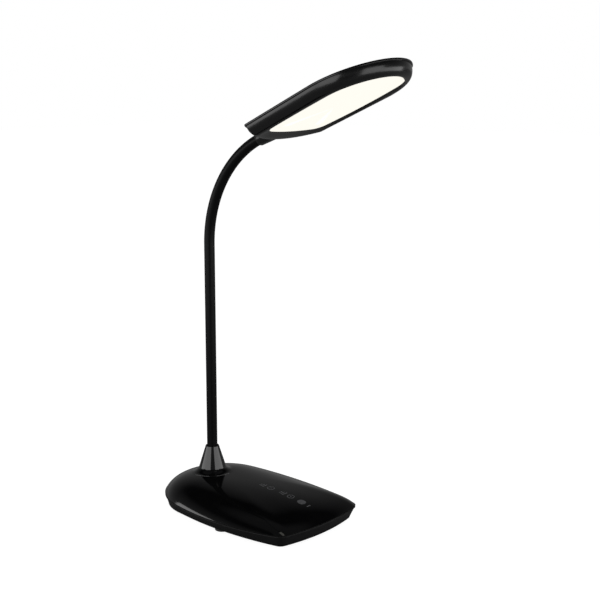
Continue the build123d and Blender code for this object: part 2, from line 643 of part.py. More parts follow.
def ball(distance, radius):
    return neck_place(distance) * Sphere(radius)


def link_ends(index, first, last):
    """Where a link of the neck starts and ends."""
    low = JOINTS[index - 1][0] if index > 0 else first
    high = JOINTS[index][0] if index < len(JOINTS) else last
    return low, high


def make_sleeve(index):
    """A link of the black sleeve: a slim end at its top laps into the hollow foot of the next link."""
    low, high = link_ends(index, FERRULE_TOP_Z - COLLAR_TOP_Z, NECK_LENGTH + NOSE_SOCKET)
    body = tube(low, high, TUBE_R)
    if index < len(JOINTS):
        lap_r = (TUBE_R + 2 * TUBE_BORE_R) / 3
        lap_h = sqrt(SLEEVE_BALL_R**2 - lap_r**2)
        lap = Cone(TUBE_R, lap_r, lap_h, align=(Align.CENTER, Align.CENTER, Align.MIN))
        body += neck_place(high) * lap
    body -= tube(low - 1, high + TUBE_R + 1, TUBE_BORE_R)
    return body - ball(low, SLEEVE_BALL_R + BALL_GAP) if index > 0 else body


def make_coil(index):
    """A link of the steel conduit, slimmer next to its joints so that it can bend in the sleeve."""
    end = NECK_LENGTH + NOSE_SOCKET + UPPER_SOCKET
    low, high = link_ends(index, FERRULE_SOCKET_Z - COLLAR_TOP_Z, end)
    wide_low = low + COIL_NECK_LENGTH if index > 0 else low
    wide_high = high - COIL_NECK_LENGTH if index < len(JOINTS) else high
    body = tube(wide_low, wide_high, COIL_R)
    if index > 0:
        body += tube(low, wide_low, COIL_NECK_R)
    if index < len(JOINTS):
        body += tube(wide_high, high, COIL_NECK_R) + ball(high, COIL_BALL_R)
    body -= tube(low - 1, high + COIL_BALL_R + 1, COIL_BORE_R)
    return body - ball(low, COIL_BALL_R + BALL_GAP) if index > 0 else body


def make_lead(index):
    return tube(JOINTS[index - 1][0] + LEAD_AHEAD, JOINTS[index][0] - LEAD_BACK, LEAD_R)


# ---- collar and lower fixings --------------------------------------------------------------------
def make_collar():
    """A tall cone with a rounded lip and a flared skirt, cut to lie on the cover."""
    bore = TUBE_R + FIT
    lip_z = COLLAR_TOP_Z - COLLAR_LIP_R
    flat_r = COLLAR_TOP_R - COLLAR_LIP_R
    slope = (COLLAR_FOOT_R - COLLAR_TOP_R) / (lip_z - COLLAR_FOOT_Z)
    low = RIM_END_Z
    thin_z = lip_z - max(bore + COLLAR_WALL - COLLAR_TOP_R, 0) / slope
    face = make_face([
        Line((bore, COLLAR_TOP_Z), (flat_r, COLLAR_TOP_Z)),
        RadiusArc((flat_r, COLLAR_TOP_Z), (COLLAR_TOP_R, lip_z), COLLAR_LIP_R),
        Line((COLLAR_TOP_R, lip_z), (COLLAR_FOOT_R, COLLAR_FOOT_Z)),
        TangentArc((COLLAR_FOOT_R, COLLAR_FOOT_Z), (COLLAR_SKIRT_R, SKIRT_Z), tangent=(slope, -1)),
        Line((COLLAR_SKIRT_R, SKIRT_Z), (COLLAR_SKIRT_R, low)),
        Line((COLLAR_SKIRT_R, low), (COLLAR_SKIRT_R - 2 * COLLAR_WALL, low)),
        Line((COLLAR_SKIRT_R - 2 * COLLAR_WALL, low), (COLLAR_FOOT_R - COLLAR_WALL, COLLAR_FOOT_Z)),
        Line((COLLAR_FOOT_R - COLLAR_WALL, COLLAR_FOOT_Z), (bore, thin_z)),
        Line((bore, thin_z), (bore, COLLAR_TOP_Z)),
    ])
    collar = revolve(Plane.XZ * face, Axis.Z)
    return collar - base_body() - post(0, 0, SEAT_UNDER_Z, SEAT_Z, SEAT_R)


def make_lower_ferrule():
    body = post(0, 0, SEAT_Z, FERRULE_TOP_Z, FERRULE_R)
    body += post(0, 0, SEAT_Z, SEAT_Z + FERRULE_FLANGE_H, FERRULE_FLANGE_R)
    body += post(0, 0, SHANK_END_Z, SEAT_Z, SHANK_R)
    body -= post(0, 0, FERRULE_SOCKET_Z, FERRULE_TOP_Z, COIL_R + THREAD_FIT)
    return body - post(0, 0, SHANK_END_Z, FERRULE_SOCKET_Z, COIL_BORE_R)


def nut(across_flats, height, bore_r):
    return extrude(RegularPolygon(across_flats / 2, 6, major_radius=False) - Circle(bore_r), height)


def make_lock_nut():
    return Pos(0, 0, SEAT_UNDER_Z - WASHER_H - NUT_H) * nut(NUT_ACROSS_FLATS, NUT_H, SHANK_R + THREAD_FIT)


def make_washer():
    low = SEAT_UNDER_Z - WASHER_H
    return post(0, 0, low, SEAT_UNDER_Z, WASHER_R) - post(0, 0, low, SEAT_UNDER_Z, SHANK_R + FIT)


# ================================= head ==========================================================
HEAD_SHARES = (1.0, 0.94, 0.87, 0.78, 0.67, 0.54, 0.38, 0.2)
BOWL_ANGLES = range(0, 91, 15)
LIP_LOW_Z = LIP_Z - LIP_THICK
LED_BOARD_TOP_Z = REFLECTOR_TOP_Z + LED_BOARD_THICK
SOCKET_END_X = HEAD_NOSE_X + NOSE_SOCKET


def head_place():
    """The head's frame, with the nose's mouth on the end of the neck's bend."""
    return neck_place(NECK_LENGTH) * Rot(0, -90, 0) * Pos(-HEAD_NOSE_X, 0, -HEAD_AXIS_Z)


def along_head(x0, x1, radius, end_radius=None):
    """A round bar or a cone on the neck's axis, in the head's frame."""
    length = x1 - x0
    if end_radius is None:
        bar = post(0, 0, 0, length, radius)
    else:
        bar = Cone(radius, end_radius, length, align=(Align.CENTER, Align.CENTER, Align.MIN))
    return Pos(x0, 0, HEAD_AXIS_Z) * Rot(0, 90, 0) * bar


def bowl(inset=0.0):
    """The lower shell's outer shape, with a well rounded lower edge, or the same inside a wall."""
    low = HEAD_DEEP_Z + inset
    rise = LIP_LOW_Z - low
    side = HEAD_ROUND - inset
    rings = [Pos(0, 0, low + rise * (1 - cos(radians(a))))
             * head_outline(HEAD_OVERHANG + inset + side * (1 - sin(radians(a)))) for a in BOWL_ANGLES]
    return loft(rings, ruled=True)


def head_dome(inset=0.0):
    """The upper shell's outer shape over its edge, or the same inside a wall."""
    outline = head_outline(inset)
    low = LIP_Z - inset
    dome = pillow(outline, low, lambda share: HEAD_CROWN * (1 - share**2), HEAD_SHARES)
    return dome + slab(outline, LIP_LOW_Z, low) if low > LIP_LOW_Z else dome


def nose(grown=0.0):
    front = along_head(HEAD_NOSE_X, NOSE_WIDE_X, NOSE_TIP_R + grown, NOSE_WIDE_R + grown)
    return front + along_head(NOSE_WIDE_X, NOSE_END_X + grown, NOSE_WIDE_R + grown, NOSE_END_R + grown)


def make_lower_shell():
    shell = bowl() - bowl(HEAD_WALL)
    floor = slab(panel_outline(-PANEL_LEDGE - FLOOR_EDGE), HEAD_DEEP_Z, LEDGE_Z + LOCATING_RISE)
    shell += floor & bowl()
    shell += nose()
    shell -= slab(panel_outline(), HEAD_DEEP_Z - 1, LEDGE_Z)
    shell -= slab(panel_outline(-PANEL_LEDGE), LEDGE_Z, REFLECTOR_TOP_Z)
    shell -= along_head(HEAD_NOSE_X - 1, SOCKET_END_X, TUBE_R + THREAD_FIT)
    shell -= along_head(SOCKET_END_X, BULKHEAD_X, FERRULE_R + THREAD_FIT)
    shell -= along_head(BULKHEAD_X, BULKHEAD_X + BULKHEAD_THICK, UPPER_SHANK_R + FIT)
    return shell - along_head(BULKHEAD_X + BULKHEAD_THICK, NOSE_END_X + 1, NOSE_CAVITY_R)


def make_top_shell():
    outer = head_dome()
    wall_in = HEAD_OVERHANG + HEAD_WALL + FIT
    ring = head_outline(wall_in) - head_outline(wall_in + TONGUE_THICK)
    tongue = slab(ring, LIP_LOW_Z - HEAD_TONGUE_RISE, LIP_Z - 1)
    inner = head_dome(TOP_WALL) + slab(head_outline(TOP_WALL), LIP_LOW_Z - 1, LIP_Z - TOP_WALL)
    shell = (outer - inner) + tongue
    core = head_dome(TOP_WALL / 2)
    for x, y in both_sides(LED_BOSS_SPOTS):
        high = post(x, y, LIP_Z - TOP_WALL, LIP_Z + HEAD_CROWN, LED_BOSS_R) & core
        shell += high + post(x, y, LED_BOARD_TOP_Z, LIP_Z, LED_BOSS_R)
    for x, y in both_sides(LED_BOSS_SPOTS):
        shell -= post(x, y, LED_BOARD_TOP_Z, REFLECTOR_TOP_Z + LED_SCREW_LENGTH, SMALL_SCREW_R + THREAD_FIT)
    return shell - nose(NOTCH_FIT)


def make_diffuser():
    plate = slab(panel_outline(DIFFUSER_FIT), 0, DIFFUSER_STEP)
    return plate + slab(panel_outline(DIFFUSER_FIT - PANEL_LEDGE), DIFFUSER_STEP, DIFFUSER_THICK)


def led_spots():
    dx, dy = LED_PITCH
    return [((i - (LED_COLUMNS - 1) / 2) * dx, (j - (LED_ROWS - 1) / 2) * dy)
            for i in range(LED_COLUMNS) for j in range(LED_ROWS)]


def make_reflector():
    outer = DIFFUSER_FIT - PANEL_LEDGE
    tray = slab(panel_outline(outer), DIFFUSER_THICK, REFLECTOR_TOP_Z)
    tray -= slab(panel_outline(outer + REFLECTOR_WALL), DIFFUSER_THICK, REFLECTOR_TOP_Z - REFLECTOR_SHEET)
    size = (LED_SIZE[0] + 2 * FIT, LED_SIZE[1] + 2 * FIT, REFLECTOR_TOP_Z)
    for x, y in led_spots():
        tray -= block(x, y, DIFFUSER_THICK, size)
    for x, y in both_sides(LED_BOSS_SPOTS):
        tray -= post(x, y, DIFFUSER_THICK, REFLECTOR_TOP_Z, SMALL_SCREW_HEAD_R + FIT)
    return tray - along_head(BULKHEAD_X, NOSE_END_X + 1, NOSE_WIDE_R)


def make_led_board():
    board = slab(panel_outline(REFLECTOR_WALL), REFLECTOR_TOP_Z, LED_BOARD_TOP_Z)
    length = HEAD_FRONT_X - LED_BOARD_REAR_X
    size = (length, 2 * PANEL_HALF_WIDTH, LED_BOARD_THICK)
    board &= block(LED_BOARD_REAR_X + length / 2, 0, REFLECTOR_TOP_Z, size)
    for x, y in both_sides(LED_BOSS_SPOTS):
        board -= post(x, y, REFLECTOR_TOP_Z, LED_BOARD_TOP_Z, SMALL_SCREW_R + FIT)
    return board


def make_led_chips():
    return [block(x, y, REFLECTOR_TOP_Z - LED_SIZE[2], LED_SIZE) for x, y in led_spots()]


def make_led_screws():
    return [screw(x, y, REFLECTOR_TOP_Z, LED_SCREW_LENGTH, SMALL_SCREW_R, SMALL_SCREW_HEAD_R,
                  SMALL_SCREW_HEAD_H) for x, y in both_sides(LED_BOSS_SPOTS)]


def make_upper_ferrule():
    body = along_head(SOCKET_END_X, BULKHEAD_X, FERRULE_R)
    body += along_head(BULKHEAD_X, UPPER_SHANK_END_X, UPPER_SHANK_R)
    body -= along_head(SOCKET_END_X, SOCKET_END_X + UPPER_SOCKET, COIL_R + THREAD_FIT)
    return body - along_head(SOCKET_END_X, UPPER_SHANK_END_X, COIL_BORE_R)


def make_upper_nut():
    low_x = BULKHEAD_X + BULKHEAD_THICK
    return Pos(low_x, 0, HEAD_AXIS_Z) * Rot(0, 90, 0) * nut(UPPER_NUT_ACROSS_FLATS, UPPER_NUT_H,
                                                            UPPER_SHANK_R + THREAD_FIT)


def make_head_lead():
    return tube(JOINTS[-1][0] + LEAD_AHEAD, NECK_LENGTH + UPPER_SHANK_END_X - HEAD_NOSE_X + 1, LEAD_R)


def make_head_wires():
    """Two leads from the end of the neck's lead down to pads on the LED board."""
    pad_z = LED_BOARD_TOP_Z + WIRE_R
    leads = []
    for side in (1, -1):
        route = [(UPPER_SHANK_END_X + x, side * y, HEAD_AXIS_Z + z) for x, y, z in HEAD_LEAD_START]
        route += [(LED_BOARD_REAR_X + x, side * y, pad_z + z) for x, y, z in HEAD_LEAD_END]
        leads.append(wire(route, WIRE_R))
    return leads


# ================================= all nodes =====================================================
def in_head(shape):
    """Moves a piece, or each of a list of pieces, from the head's frame into the lamp's."""
    if isinstance(shape, list):
        return [head_place() * piece for piece in shape]
    return head_place() * shape


nodes = {
    "base_cover": make_base_cover(),
    "base_tray": make_base_tray(),
    "anti_slip_feet": make_feet(),
    "counterweight": make_counterweight(),
    "weight_screws": make_weight_screws(),
    "cover_screws": make_cover_screws(),
    "battery_cradle": make_cradle(),
    "battery_cell": make_cell(),
    "control_board": make_control_board(),
    "board_parts": make_board_parts(),
    "board_screws": make_board_screws(),
    "touch_springs": make_touch_springs(),
    "touch_marks": make_touch_marks(),
    "dc_inlet": make_dc_inlet(),
    "inlet_contacts": make_inlet_contacts(),
    "base_wires": make_base_wires(),
    "neck_collar": make_collar(),
    "lower_ferrule": make_lower_ferrule(),
    "lock_washer": make_washer(),
    "lock_nut": make_lock_nut(),
    "head_lower_shell": in_head(make_lower_shell()),
    "head_top_shell": in_head(make_top_shell()),
    "diffuser": in_head(make_diffuser()),
    "reflector_tray": in_head(make_reflector()),
    "led_board": in_head(make_led_board()),
    "led_chips": in_head(make_led_chips()),
    "led_board_screws": in_head(make_led_screws()),
    "upper_ferrule": in_head(make_upper_ferrule()),
    "upper_nut": in_head(make_upper_nut()),
    "head_wires": [make_head_lead(), *in_head(make_head_wires())],
}
for number in range(len(JOINTS) + 1):
    nodes[f"neck_sleeve_{number}"] = make_sleeve(number)
    nodes[f"neck_coil_{number}"] = make_coil(number)
for number in range(1, len(JOINTS)):
    nodes[f"neck_lead_{number}"] = make_lead(number)

os.makedirs("parts", exist_ok=True)
for name, shape in nodes.items():
    if isinstance(shape, list):
        shape = Compound(children=shape)
    shape.label = name
    export_step(shape, f"parts/{name}.step")
    print(name, round(shape.volume, 1), len(shape.solids()))
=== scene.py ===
import json
from math import acos, asin, atan2, cos, hypot, pi, radians, sin, sqrt, tan, tau

import bmesh
import bpy
from bpy.props import FloatProperty, FloatVectorProperty, IntProperty, PointerProperty
from mathutils import Matrix, Vector

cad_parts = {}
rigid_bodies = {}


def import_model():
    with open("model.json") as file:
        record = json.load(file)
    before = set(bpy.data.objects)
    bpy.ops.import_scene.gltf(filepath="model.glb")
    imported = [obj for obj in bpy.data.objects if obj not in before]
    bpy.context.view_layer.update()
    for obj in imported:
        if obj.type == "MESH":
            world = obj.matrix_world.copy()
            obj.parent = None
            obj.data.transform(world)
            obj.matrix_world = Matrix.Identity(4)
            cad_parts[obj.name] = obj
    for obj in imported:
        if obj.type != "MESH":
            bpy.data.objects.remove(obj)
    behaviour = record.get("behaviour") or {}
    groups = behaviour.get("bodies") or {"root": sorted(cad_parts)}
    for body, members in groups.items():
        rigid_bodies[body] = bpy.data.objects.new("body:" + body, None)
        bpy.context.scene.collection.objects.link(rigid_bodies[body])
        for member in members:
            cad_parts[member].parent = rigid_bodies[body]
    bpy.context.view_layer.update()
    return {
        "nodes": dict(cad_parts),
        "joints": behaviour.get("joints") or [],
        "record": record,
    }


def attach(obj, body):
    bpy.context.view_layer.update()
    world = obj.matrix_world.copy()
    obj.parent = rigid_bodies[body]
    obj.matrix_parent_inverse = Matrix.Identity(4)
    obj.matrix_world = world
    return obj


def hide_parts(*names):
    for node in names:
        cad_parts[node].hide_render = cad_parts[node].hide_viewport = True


bl_info = {
    "name": "Gooseneck desk lamp",
    "version": (1, 0, 0),
    "blender": (4, 5, 0),
    "location": "3D View > Sidebar > Lamp",
    "description": "Builds a desk lamp with a domed base, a flexible neck and a flat lit head",
    "category": "Add Mesh",
}

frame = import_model()
MM = 0.001
MERGE = 1e-7                        # points closer than this, in metres, become one
BASE_STEPS = (18, 10, 30, 30)       # edges on each arc of half an outline, from the front
PANEL_STEPS = (14, 20, 26, 14, 12)
HEAD_STEPS = (30, 26, 8, 22)        # edges on the head's front, side, corner and half its rear
HEAD_CORNER_R = 0.0025              # round of the head's rear corners
OVAL_SHARE = 0.7                    # share of the way in over which the crown's rows become ovals
HALVINGS = 20                       # steps in the search for a place on the crown
PATTERN_RANGE = (0.3, 0.7)          # where most of a noise pattern's values lie


# ---- settings ------------------------------------------------------------------------------------
def length(name, value, text):
    """A length property. The value is in millimetres."""
    return FloatProperty(name=name, description=text, default=value * MM, unit="LENGTH")


def colour(name, value, text):
    return FloatVectorProperty(name=name, description=text, default=value, subtype="COLOR", min=0,
                               max=1)


class BaseSizes(bpy.types.PropertyGroup):
    front_x: length("Front", 146, "Foremost point of the base")
    front_r: length("Front bow", 190, "Radius of the front edge")
    corner_r: length("Corner", 13, "Radius of the front corners")
    half_width: length("Half width", 61.8, "From the middle to the widest place")
    wide_x: length("Widest at", 66, "Where the base is widest")
    side_r: length("Side bow", 320, "Radius of the sides")
    rear_x: length("Rear", -41.4, "Rearmost point of the base")
    rim_z: length("Rim height", 12.9, "Parting line at mid-length")
    rim_rise: length("Rim rise", 2.6, "How far the parting line rises towards the ends")
    crown_z: length("Crown height", 32, "Top of the cover")
    crown_x: length("Crown at", 15, "Where the cover is highest")
    crown_fall: length("Crown fall", 0.8, "How far the crown falls from its middle to the front")
    wall: length("Wall", 2.2, "Thickness of cover and tray")
    foot_z: length("Foot height", 3, "Underside of the tray above the desk")
    undercut: length("Undercut", 6, "How far the tray's foot stands in from its edge")
    power: FloatProperty(name="Squareness", description="Squareness of the crown, 2 is an ellipse",
                         default=3.0, min=1.5, max=5)
    start: FloatProperty(name="Start", default=0.955, min=0.5, max=0.999,
                         description="Share of the crown's round at which it leaves the rim")


class NeckSizes(bpy.types.PropertyGroup):
    radius: length("Radius", 5, "Outer radius of the sleeve")
    bore: length("Bore", 3.8, "Inner radius of the sleeve")
    straight: length("Straight part", 196.5, "From the collar's top to the bend")
    bend_r: length("Bend", 110, "Radius of the bend")
    collar_top_z: length("Collar top", 57, "Height of the collar's lip")
    collar_top_r: length("Collar lip", 6.6, "Radius of the collar's lip")
    collar_foot_z: length("Cone foot", 34.4, "Where the straight cone ends")
    collar_foot_r: length("Cone radius", 13.4, "Radius where the cone ends")
    skirt_r: length("Skirt", 20.5, "Edge of the flared skirt")
    bend: FloatProperty(name="Turn", description="Turn of the neck from upright", subtype="ANGLE",
                        default=radians(66.2))


class HeadSizes(bpy.types.PropertyGroup):
    nose_x: length("Mouth", -96.5, "Where the neck goes into the head")
    axis_z: length("Axis height", 7.7, "Height of the neck's axis over the lit face")
    front_x: length("Front", 71.4, "Foremost point of the head")
    front_r: length("Front round", 52.8, "Radius of the head's front")
    corner_x: length("Corner along", -65, "Rear corner, along the head")
    corner_y: length("Corner across", 48.6, "Rear corner, across the head")
    rear_sag: length("Rear bulge", 16, "Bulge of the rear edge between its corners")
    lip_z: length("Edge height", 10.6, "Upper edge of the rim over the lit face")
    lip: length("Edge thickness", 1.9, "Thickness of the upper shell's edge")
    deep_z: length("Depth", -1.8, "Lowest face, around the panel")
    round_r: length("Rounding", 7.8, "Rounding of the lower shell")
    overhang: length("Overhang", 1.25, "How far the upper shell stands out")
    wall: length("Wall", 2, "Thickness of the shells")
    crown: length("Crown", 6.5, "Height of the upper shell over its edge")


class PanelSizes(bpy.types.PropertyGroup):
    front_x: length("Front", 59.2, "Foremost point of the lit panel")
    front_r: length("Front bow", 95, "Radius of the front edge")
    front_corner_r: length("Front corner", 26, "Radius of the front corners")
    half_width: length("Half width", 38.6, "From the middle to the side")
    side_r: length("Side bow", 330, "Radius of the sides")
    rear_x: length("Rear", -59.6, "Rearmost point of the lit panel")
    rear_r: length("Rear bow", 150, "Radius of the rear edge")
    rear_corner_r: length("Rear corner", 11, "Radius of the rear corners")
    recess: length("Edge", 1.6, "Width of the ledge that the panel lies on")


class Finishes(bpy.types.PropertyGroup):
    gloss: colour("Gloss black", (0.002, 0.002, 0.0022), "Cover, collar and head")
    tray: colour("Tray grey", (0.0035, 0.0035, 0.0038), "Tray under the cover")
    sleeve: colour("Sleeve black", (0.0022, 0.0022, 0.0024), "Sleeve of the neck")
    marks: colour("Marks", (0.075, 0.075, 0.08), "Printed touch marks")
    light: colour("Light", (1.0, 0.975, 0.89), "Colour of the lit panel")
    strength: FloatProperty(name="Strength", description="Strength of the lit panel",
                            default=0.965, min=0)
    rings: IntProperty(name="Rings", description="Rings of faces over the crowned cover",
                       default=26, min=6)


class LampSettings(bpy.types.PropertyGroup):
    base: PointerProperty(type=BaseSizes)
    neck: PointerProperty(type=NeckSizes)
    head: PointerProperty(type=HeadSizes)
    panel: PointerProperty(type=PanelSizes)
    finish: PointerProperty(type=Finishes)


def settings():
    return bpy.context.scene.desk_lamp


# ---- outlines ------------------------------------------------------------------------------------
def between(a, b, part):
    return a + (b - a) * part


def quarter(steps):
    """Angles from nothing to a right angle."""
    return [radians(90 * k / steps) for k in range(steps + 1)]


def towards(centre, radius, point):
    """The point of a circle in the direction of another point."""
    dx, dy = point[0] - centre[0], point[1] - centre[1]
    reach = hypot(dx, dy)
    return centre[0] + radius * dx / reach, centre[1] + radius * dy / reach


def flipped(point):
    return point[0], -point[1]


def corner_between(first, second, radius):
    """The circle on the +Y side that touches two larger circles from inside."""
    (c1, r1), (c2, r2) = first, second
    d1, d2 = r1 - radius, r2 - radius
    dx, dy = c2[0] - c1[0], c2[1] - c1[1]
    d = hypot(dx, dy)
    along = (d1 * d1 - d2 * d2 + d * d) / (2 * d)
    across = sqrt(d1 * d1 - along * along)
    found = [(c1[0] + (along * dx - side * across * dy) / d,
              c1[1] + (along * dy + side * across * dx) / d) for side in (1, -1)]
    return max(found, key=lambda point: point[1]), radius


def joint_of(first, second):
    """Where two circles touch, one inside the other."""
    large, small = (first, second) if first[1] > second[1] else (second, first)
    return towards(large[0], large[1], small[0])


def arcs_round(circles, steps, inset):
    """A closed outline of tangent arcs: its start in the middle of the front, and its runs, each
    as (centre, end, steps)."""
    joints = [joint_of(a, b) for a, b in zip(circles, circles[1:])]
    ends = [towards(circles[i][0], circles[i][1] - inset, joint) for i, joint in enumerate(joints)]
    runs = [(circle[0], end, count) for circle, end, count in zip(circles, ends, steps)]
    rear = circles[-1]
    back = (rear[0][0] - rear[1] + inset, 0.0)
    runs.append((rear[0], back, steps[-1]))
    start = (circles[0][0][0] + circles[0][1] - inset, 0.0)
    starts = [start, *ends]
    for i in range(len(circles) - 1, -1, -1):
        runs.append((flipped(circles[i][0]), flipped(starts[i]), steps[i]))
    return start, runs


def base_runs(inset=0.0):
    """The base seen from above: bowed front and sides, small front corners and a round rear."""
    s = settings().base
    front = ((s.front_x - s.front_r, 0.0), s.front_r)
    side = ((s.wide_x, s.half_width - s.side_r), s.side_r)
    reach = s.wide_x - s.rear_x
    rear_r = (s.side_r**2 - reach**2 - side[0][1] ** 2) / (2 * (s.side_r - reach))
    rear = ((s.rear_x + rear_r, 0.0), rear_r)
    circles = [front, corner_between(front, side, s.corner_r), side, rear]
    return arcs_round(circles, BASE_STEPS, inset)


def panel_runs(inset=0.0):
    """The lit panel: a long, slightly bowed shape with large front corners."""
    s = settings().panel
    front = ((s.front_x - s.front_r, 0.0), s.front_r)
    side = ((0.0, s.half_width - s.side_r), s.side_r)
    rear = ((s.rear_x + s.rear_r, 0.0), s.rear_r)
    circles = [front, corner_between(front, side, s.front_corner_r), side,
               corner_between(rear, side, s.rear_corner_r), rear]
    return arcs_round(circles, PANEL_STEPS, inset)


def head_runs(inset=0.0):
    """The head seen from above: a round front, straight sides, small corners and a bowed rear edge."""
    s, corner = settings().head, HEAD_CORNER_R
    front_x, radius = s.front_x - s.front_r, s.front_r - inset
    reach = hypot(front_x - s.corner_x, s.corner_y)
    slope = asin(s.front_r / reach) - asin(s.corner_y / reach)
    rear_r = (s.corner_y**2 + s.rear_sag**2) / (2 * s.rear_sag)
    rear = (s.corner_x - s.rear_sag + rear_r, 0.0)
    side_start = (front_x - radius * sin(slope), radius * cos(slope))
    # The corner's centre lies a corner radius inside both the side's line and the rear circle.
    near = (front_x - (radius - corner) * sin(slope), (radius - corner) * cos(slope))
    dx, dy = near[0] - rear[0], near[1]
    along = dx * cos(slope) + dy * sin(slope)
    run = along + sqrt(along**2 - (dx * dx + dy * dy) + (rear_r - inset - corner) ** 2)
    centre = (near[0] - run * cos(slope), near[1] - run * sin(slope))
    side_end = (centre[0] - corner * sin(slope), centre[1] + corner * cos(slope))
    rear_start = towards(rear, rear_r - inset, centre)
    start = (front_x + radius, 0.0)
    front, side, turn, back = HEAD_STEPS
    runs = [((front_x, 0.0), side_start, front), (None, side_end, side), (centre, rear_start, turn),
            (rear, (rear[0] - rear_r + inset, 0.0), back), (rear, flipped(rear_start), back),
            (flipped(centre), flipped(side_end), turn), (None, flipped(side_start), side),
            ((front_x, 0.0), start, front)]
    return start, runs


# ---- rows and skins ------------------------------------------------------------------------------
def trace(outline, z=0.0):
    """Points along an outline's arcs and straight runs, once round from the middle of its front."""
    start, runs = outline
    points = [Vector((*start, z))]
    for centre, end, steps in runs:
        here = points[-1]
        if centre is None:
            points += [here.lerp(Vector((*end, z)), k / steps) for k in range(1, steps + 1)]
            continue
        middle = Vector((*centre, z))
        arm = here - middle
        first = atan2(here.y - centre[1], here.x - centre[0])
        turn = (atan2(end[1] - centre[1], end[0] - centre[0]) - first) % tau
        points += [middle + Matrix.Rotation(turn * k / steps, 3, "Z") @ arm
                   for k in range(1, steps + 1)]
    return points[:-1]


def ring(radius, z, count=96):
    """Points of a circle about the Z axis."""
    return [Vector((radius * cos(tau * k / count), radius * sin(tau * k / count), z))
            for k in range(count)]


def skin(rows, closed=False):
    """A skin through rows of points: a ring of edges, extruded and moved from one row to the next.
    A closed skin runs on to its first row. An open one gets a flat end at its first and last row."""
    bm = bmesh.new()
    here = bmesh.ops.create_circle(bm, segments=len(rows[0]), radius=1)["verts"]
    edges = bm.edges[:]
    for number, row in enumerate(rows + rows[:1] if closed else rows):
        if number:
            made = bmesh.ops.extrude_edge_only(bm, edges=edges)["geom"]
            fresh = {v for v in made if isinstance(v, bmesh.types.BMVert)}
            edges = [e for e in made
                     if isinstance(e, bmesh.types.BMEdge) and fresh.issuperset(e.verts)]
            here = [next(e.other_vert(v) for e in v.link_edges if e.other_vert(v) in fresh)
                    for v in here]
        for v, point in zip(here, row):
            v.co = point
        if not closed and number in (0, len(rows) - 1):
            end = bmesh.ops.contextual_create(bm, geom=edges)["faces"]
            bmesh.ops.poke(bm, faces=end)
    return bm


def linked(name, data):
    """A new object in the scene."""
    made = bpy.data.objects.new(name, data)
    bpy.context.scene.collection.objects.link(made)
    return made


def finish_mesh(bm, name, body, replaced, material, sharp=40, place=None):
    """Makes the piece: merged, outward faces, smooth with sharp edges kept, and riding on its body."""
    bmesh.ops.remove_doubles(bm, verts=bm.verts, dist=MERGE)
    if place is not None:
        bmesh.ops.transform(bm, matrix=place, verts=bm.verts)
    bmesh.ops.recalc_face_normals(bm, faces=bm.faces)
    for face in bm.faces:
        face.smooth = True
    for edge in bm.edges:
        edge.smooth = edge.calc_face_angle(0.0) < radians(sharp)
    mesh = bpy.data.meshes.new(name)
    bm.to_mesh(mesh)
    bm.free()
    mesh.materials.append(material)
    piece = linked(name, mesh)
    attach(piece, body)
    if replaced:
        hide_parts(*replaced)


# ---- the base's form -----------------------------------------------------------------------------
def rim_height(x):
    """Height of the parting line, a long arc that rises towards both ends."""
    s = settings().base
    half = (s.front_x - s.rear_x) / 2
    middle = (s.front_x + s.rear_x) / 2
    radius = (half**2 + s.rim_rise**2) / (2 * s.rim_rise)
    return s.rim_z + radius - sqrt(radius**2 - (x - middle) ** 2)


def eased(value):
    value = min(max(value, 0.0), 1.0)
    return value * value * (3 - 2 * value)


def crown_top(x):
    """Height of the crown's top, which falls a little towards the front."""
    s = settings().base
    return s.crown_z - s.crown_fall * (x - s.crown_x) / ((s.front_x - s.rear_x) / 2)


def oval_reach(dx, dy, inset=0.0):
    """How far a direction runs, as a share of itself, to an oval as long and as wide as the base."""
    s = settings().base
    half_x = s.front_x - s.crown_x if dx > 0 else s.crown_x - s.rear_x
    return 1 / (hypot(dx / (half_x - inset), dy / (s.half_width - inset)) or 1)


def oval_mix(share):
    """How much of an oval a row of the crown is, over a share of the way out."""
    return eased((1 - share) / OVAL_SHARE)


def crown_rise(share):
    """Height of the crown, from 0 at the rim to 1 at its top, over a share of the way out."""
    s = settings().base
    low = (1 - s.start**s.power) ** (1 / s.power)
    return ((1 - (share * s.start) ** s.power) ** (1 / s.power) - low) / (1 - low)


def over_rim(x, share, inset=0.0):
    """Height of the crown at a place along the base, over a share of the way out."""
    rim = rim_height(x)
    return rim + (crown_top(x) - inset - rim) * crown_rise(share)


def crown_point(x, y, share, inset=0.0):
    """The crown over an outline's point, at a share of the way from the crown's middle to it."""
    s = settings().base
    dx, dy, mix = x - s.crown_x, y, oval_mix(share)
    grown = share * (1 - mix + mix * oval_reach(dx, dy, inset))
    x = s.crown_x + dx * grown
    return Vector((x, dy * grown, over_rim(x, share, inset)))


def cover_height():
    """A function for the height of the cover at a place."""
    s = settings().base
    polar = sorted((atan2(v.y, v.x - s.crown_x), hypot(v.x - s.crown_x, v.y))
                   for v in trace(base_runs()))
    polar = [(polar[-1][0] - tau, polar[-1][1]), *polar, (polar[0][0] + tau, polar[0][1])]

    def height(x, y):
        dx, dy = x - s.crown_x, y
        place, reach = atan2(dy, dx), hypot(dx, dy) or MM / 100
        (a, near), (b, far) = next(pair for pair in zip(polar, polar[1:])
                                   if pair[0][0] <= place <= pair[1][0])
        full = near + (far - near) * (place - a) / ((b - a) or 1)
        oval = oval_reach(dx / reach, dy / reach)
        low, high = 0.0, 1.0
        for _ in range(HALVINGS):
            share = (low + high) / 2
            too_near = share * between(full, oval, oval_mix(share)) < reach
            low, high = (share, high) if too_near else (low, share)
        return over_rim(x, low)

    return height


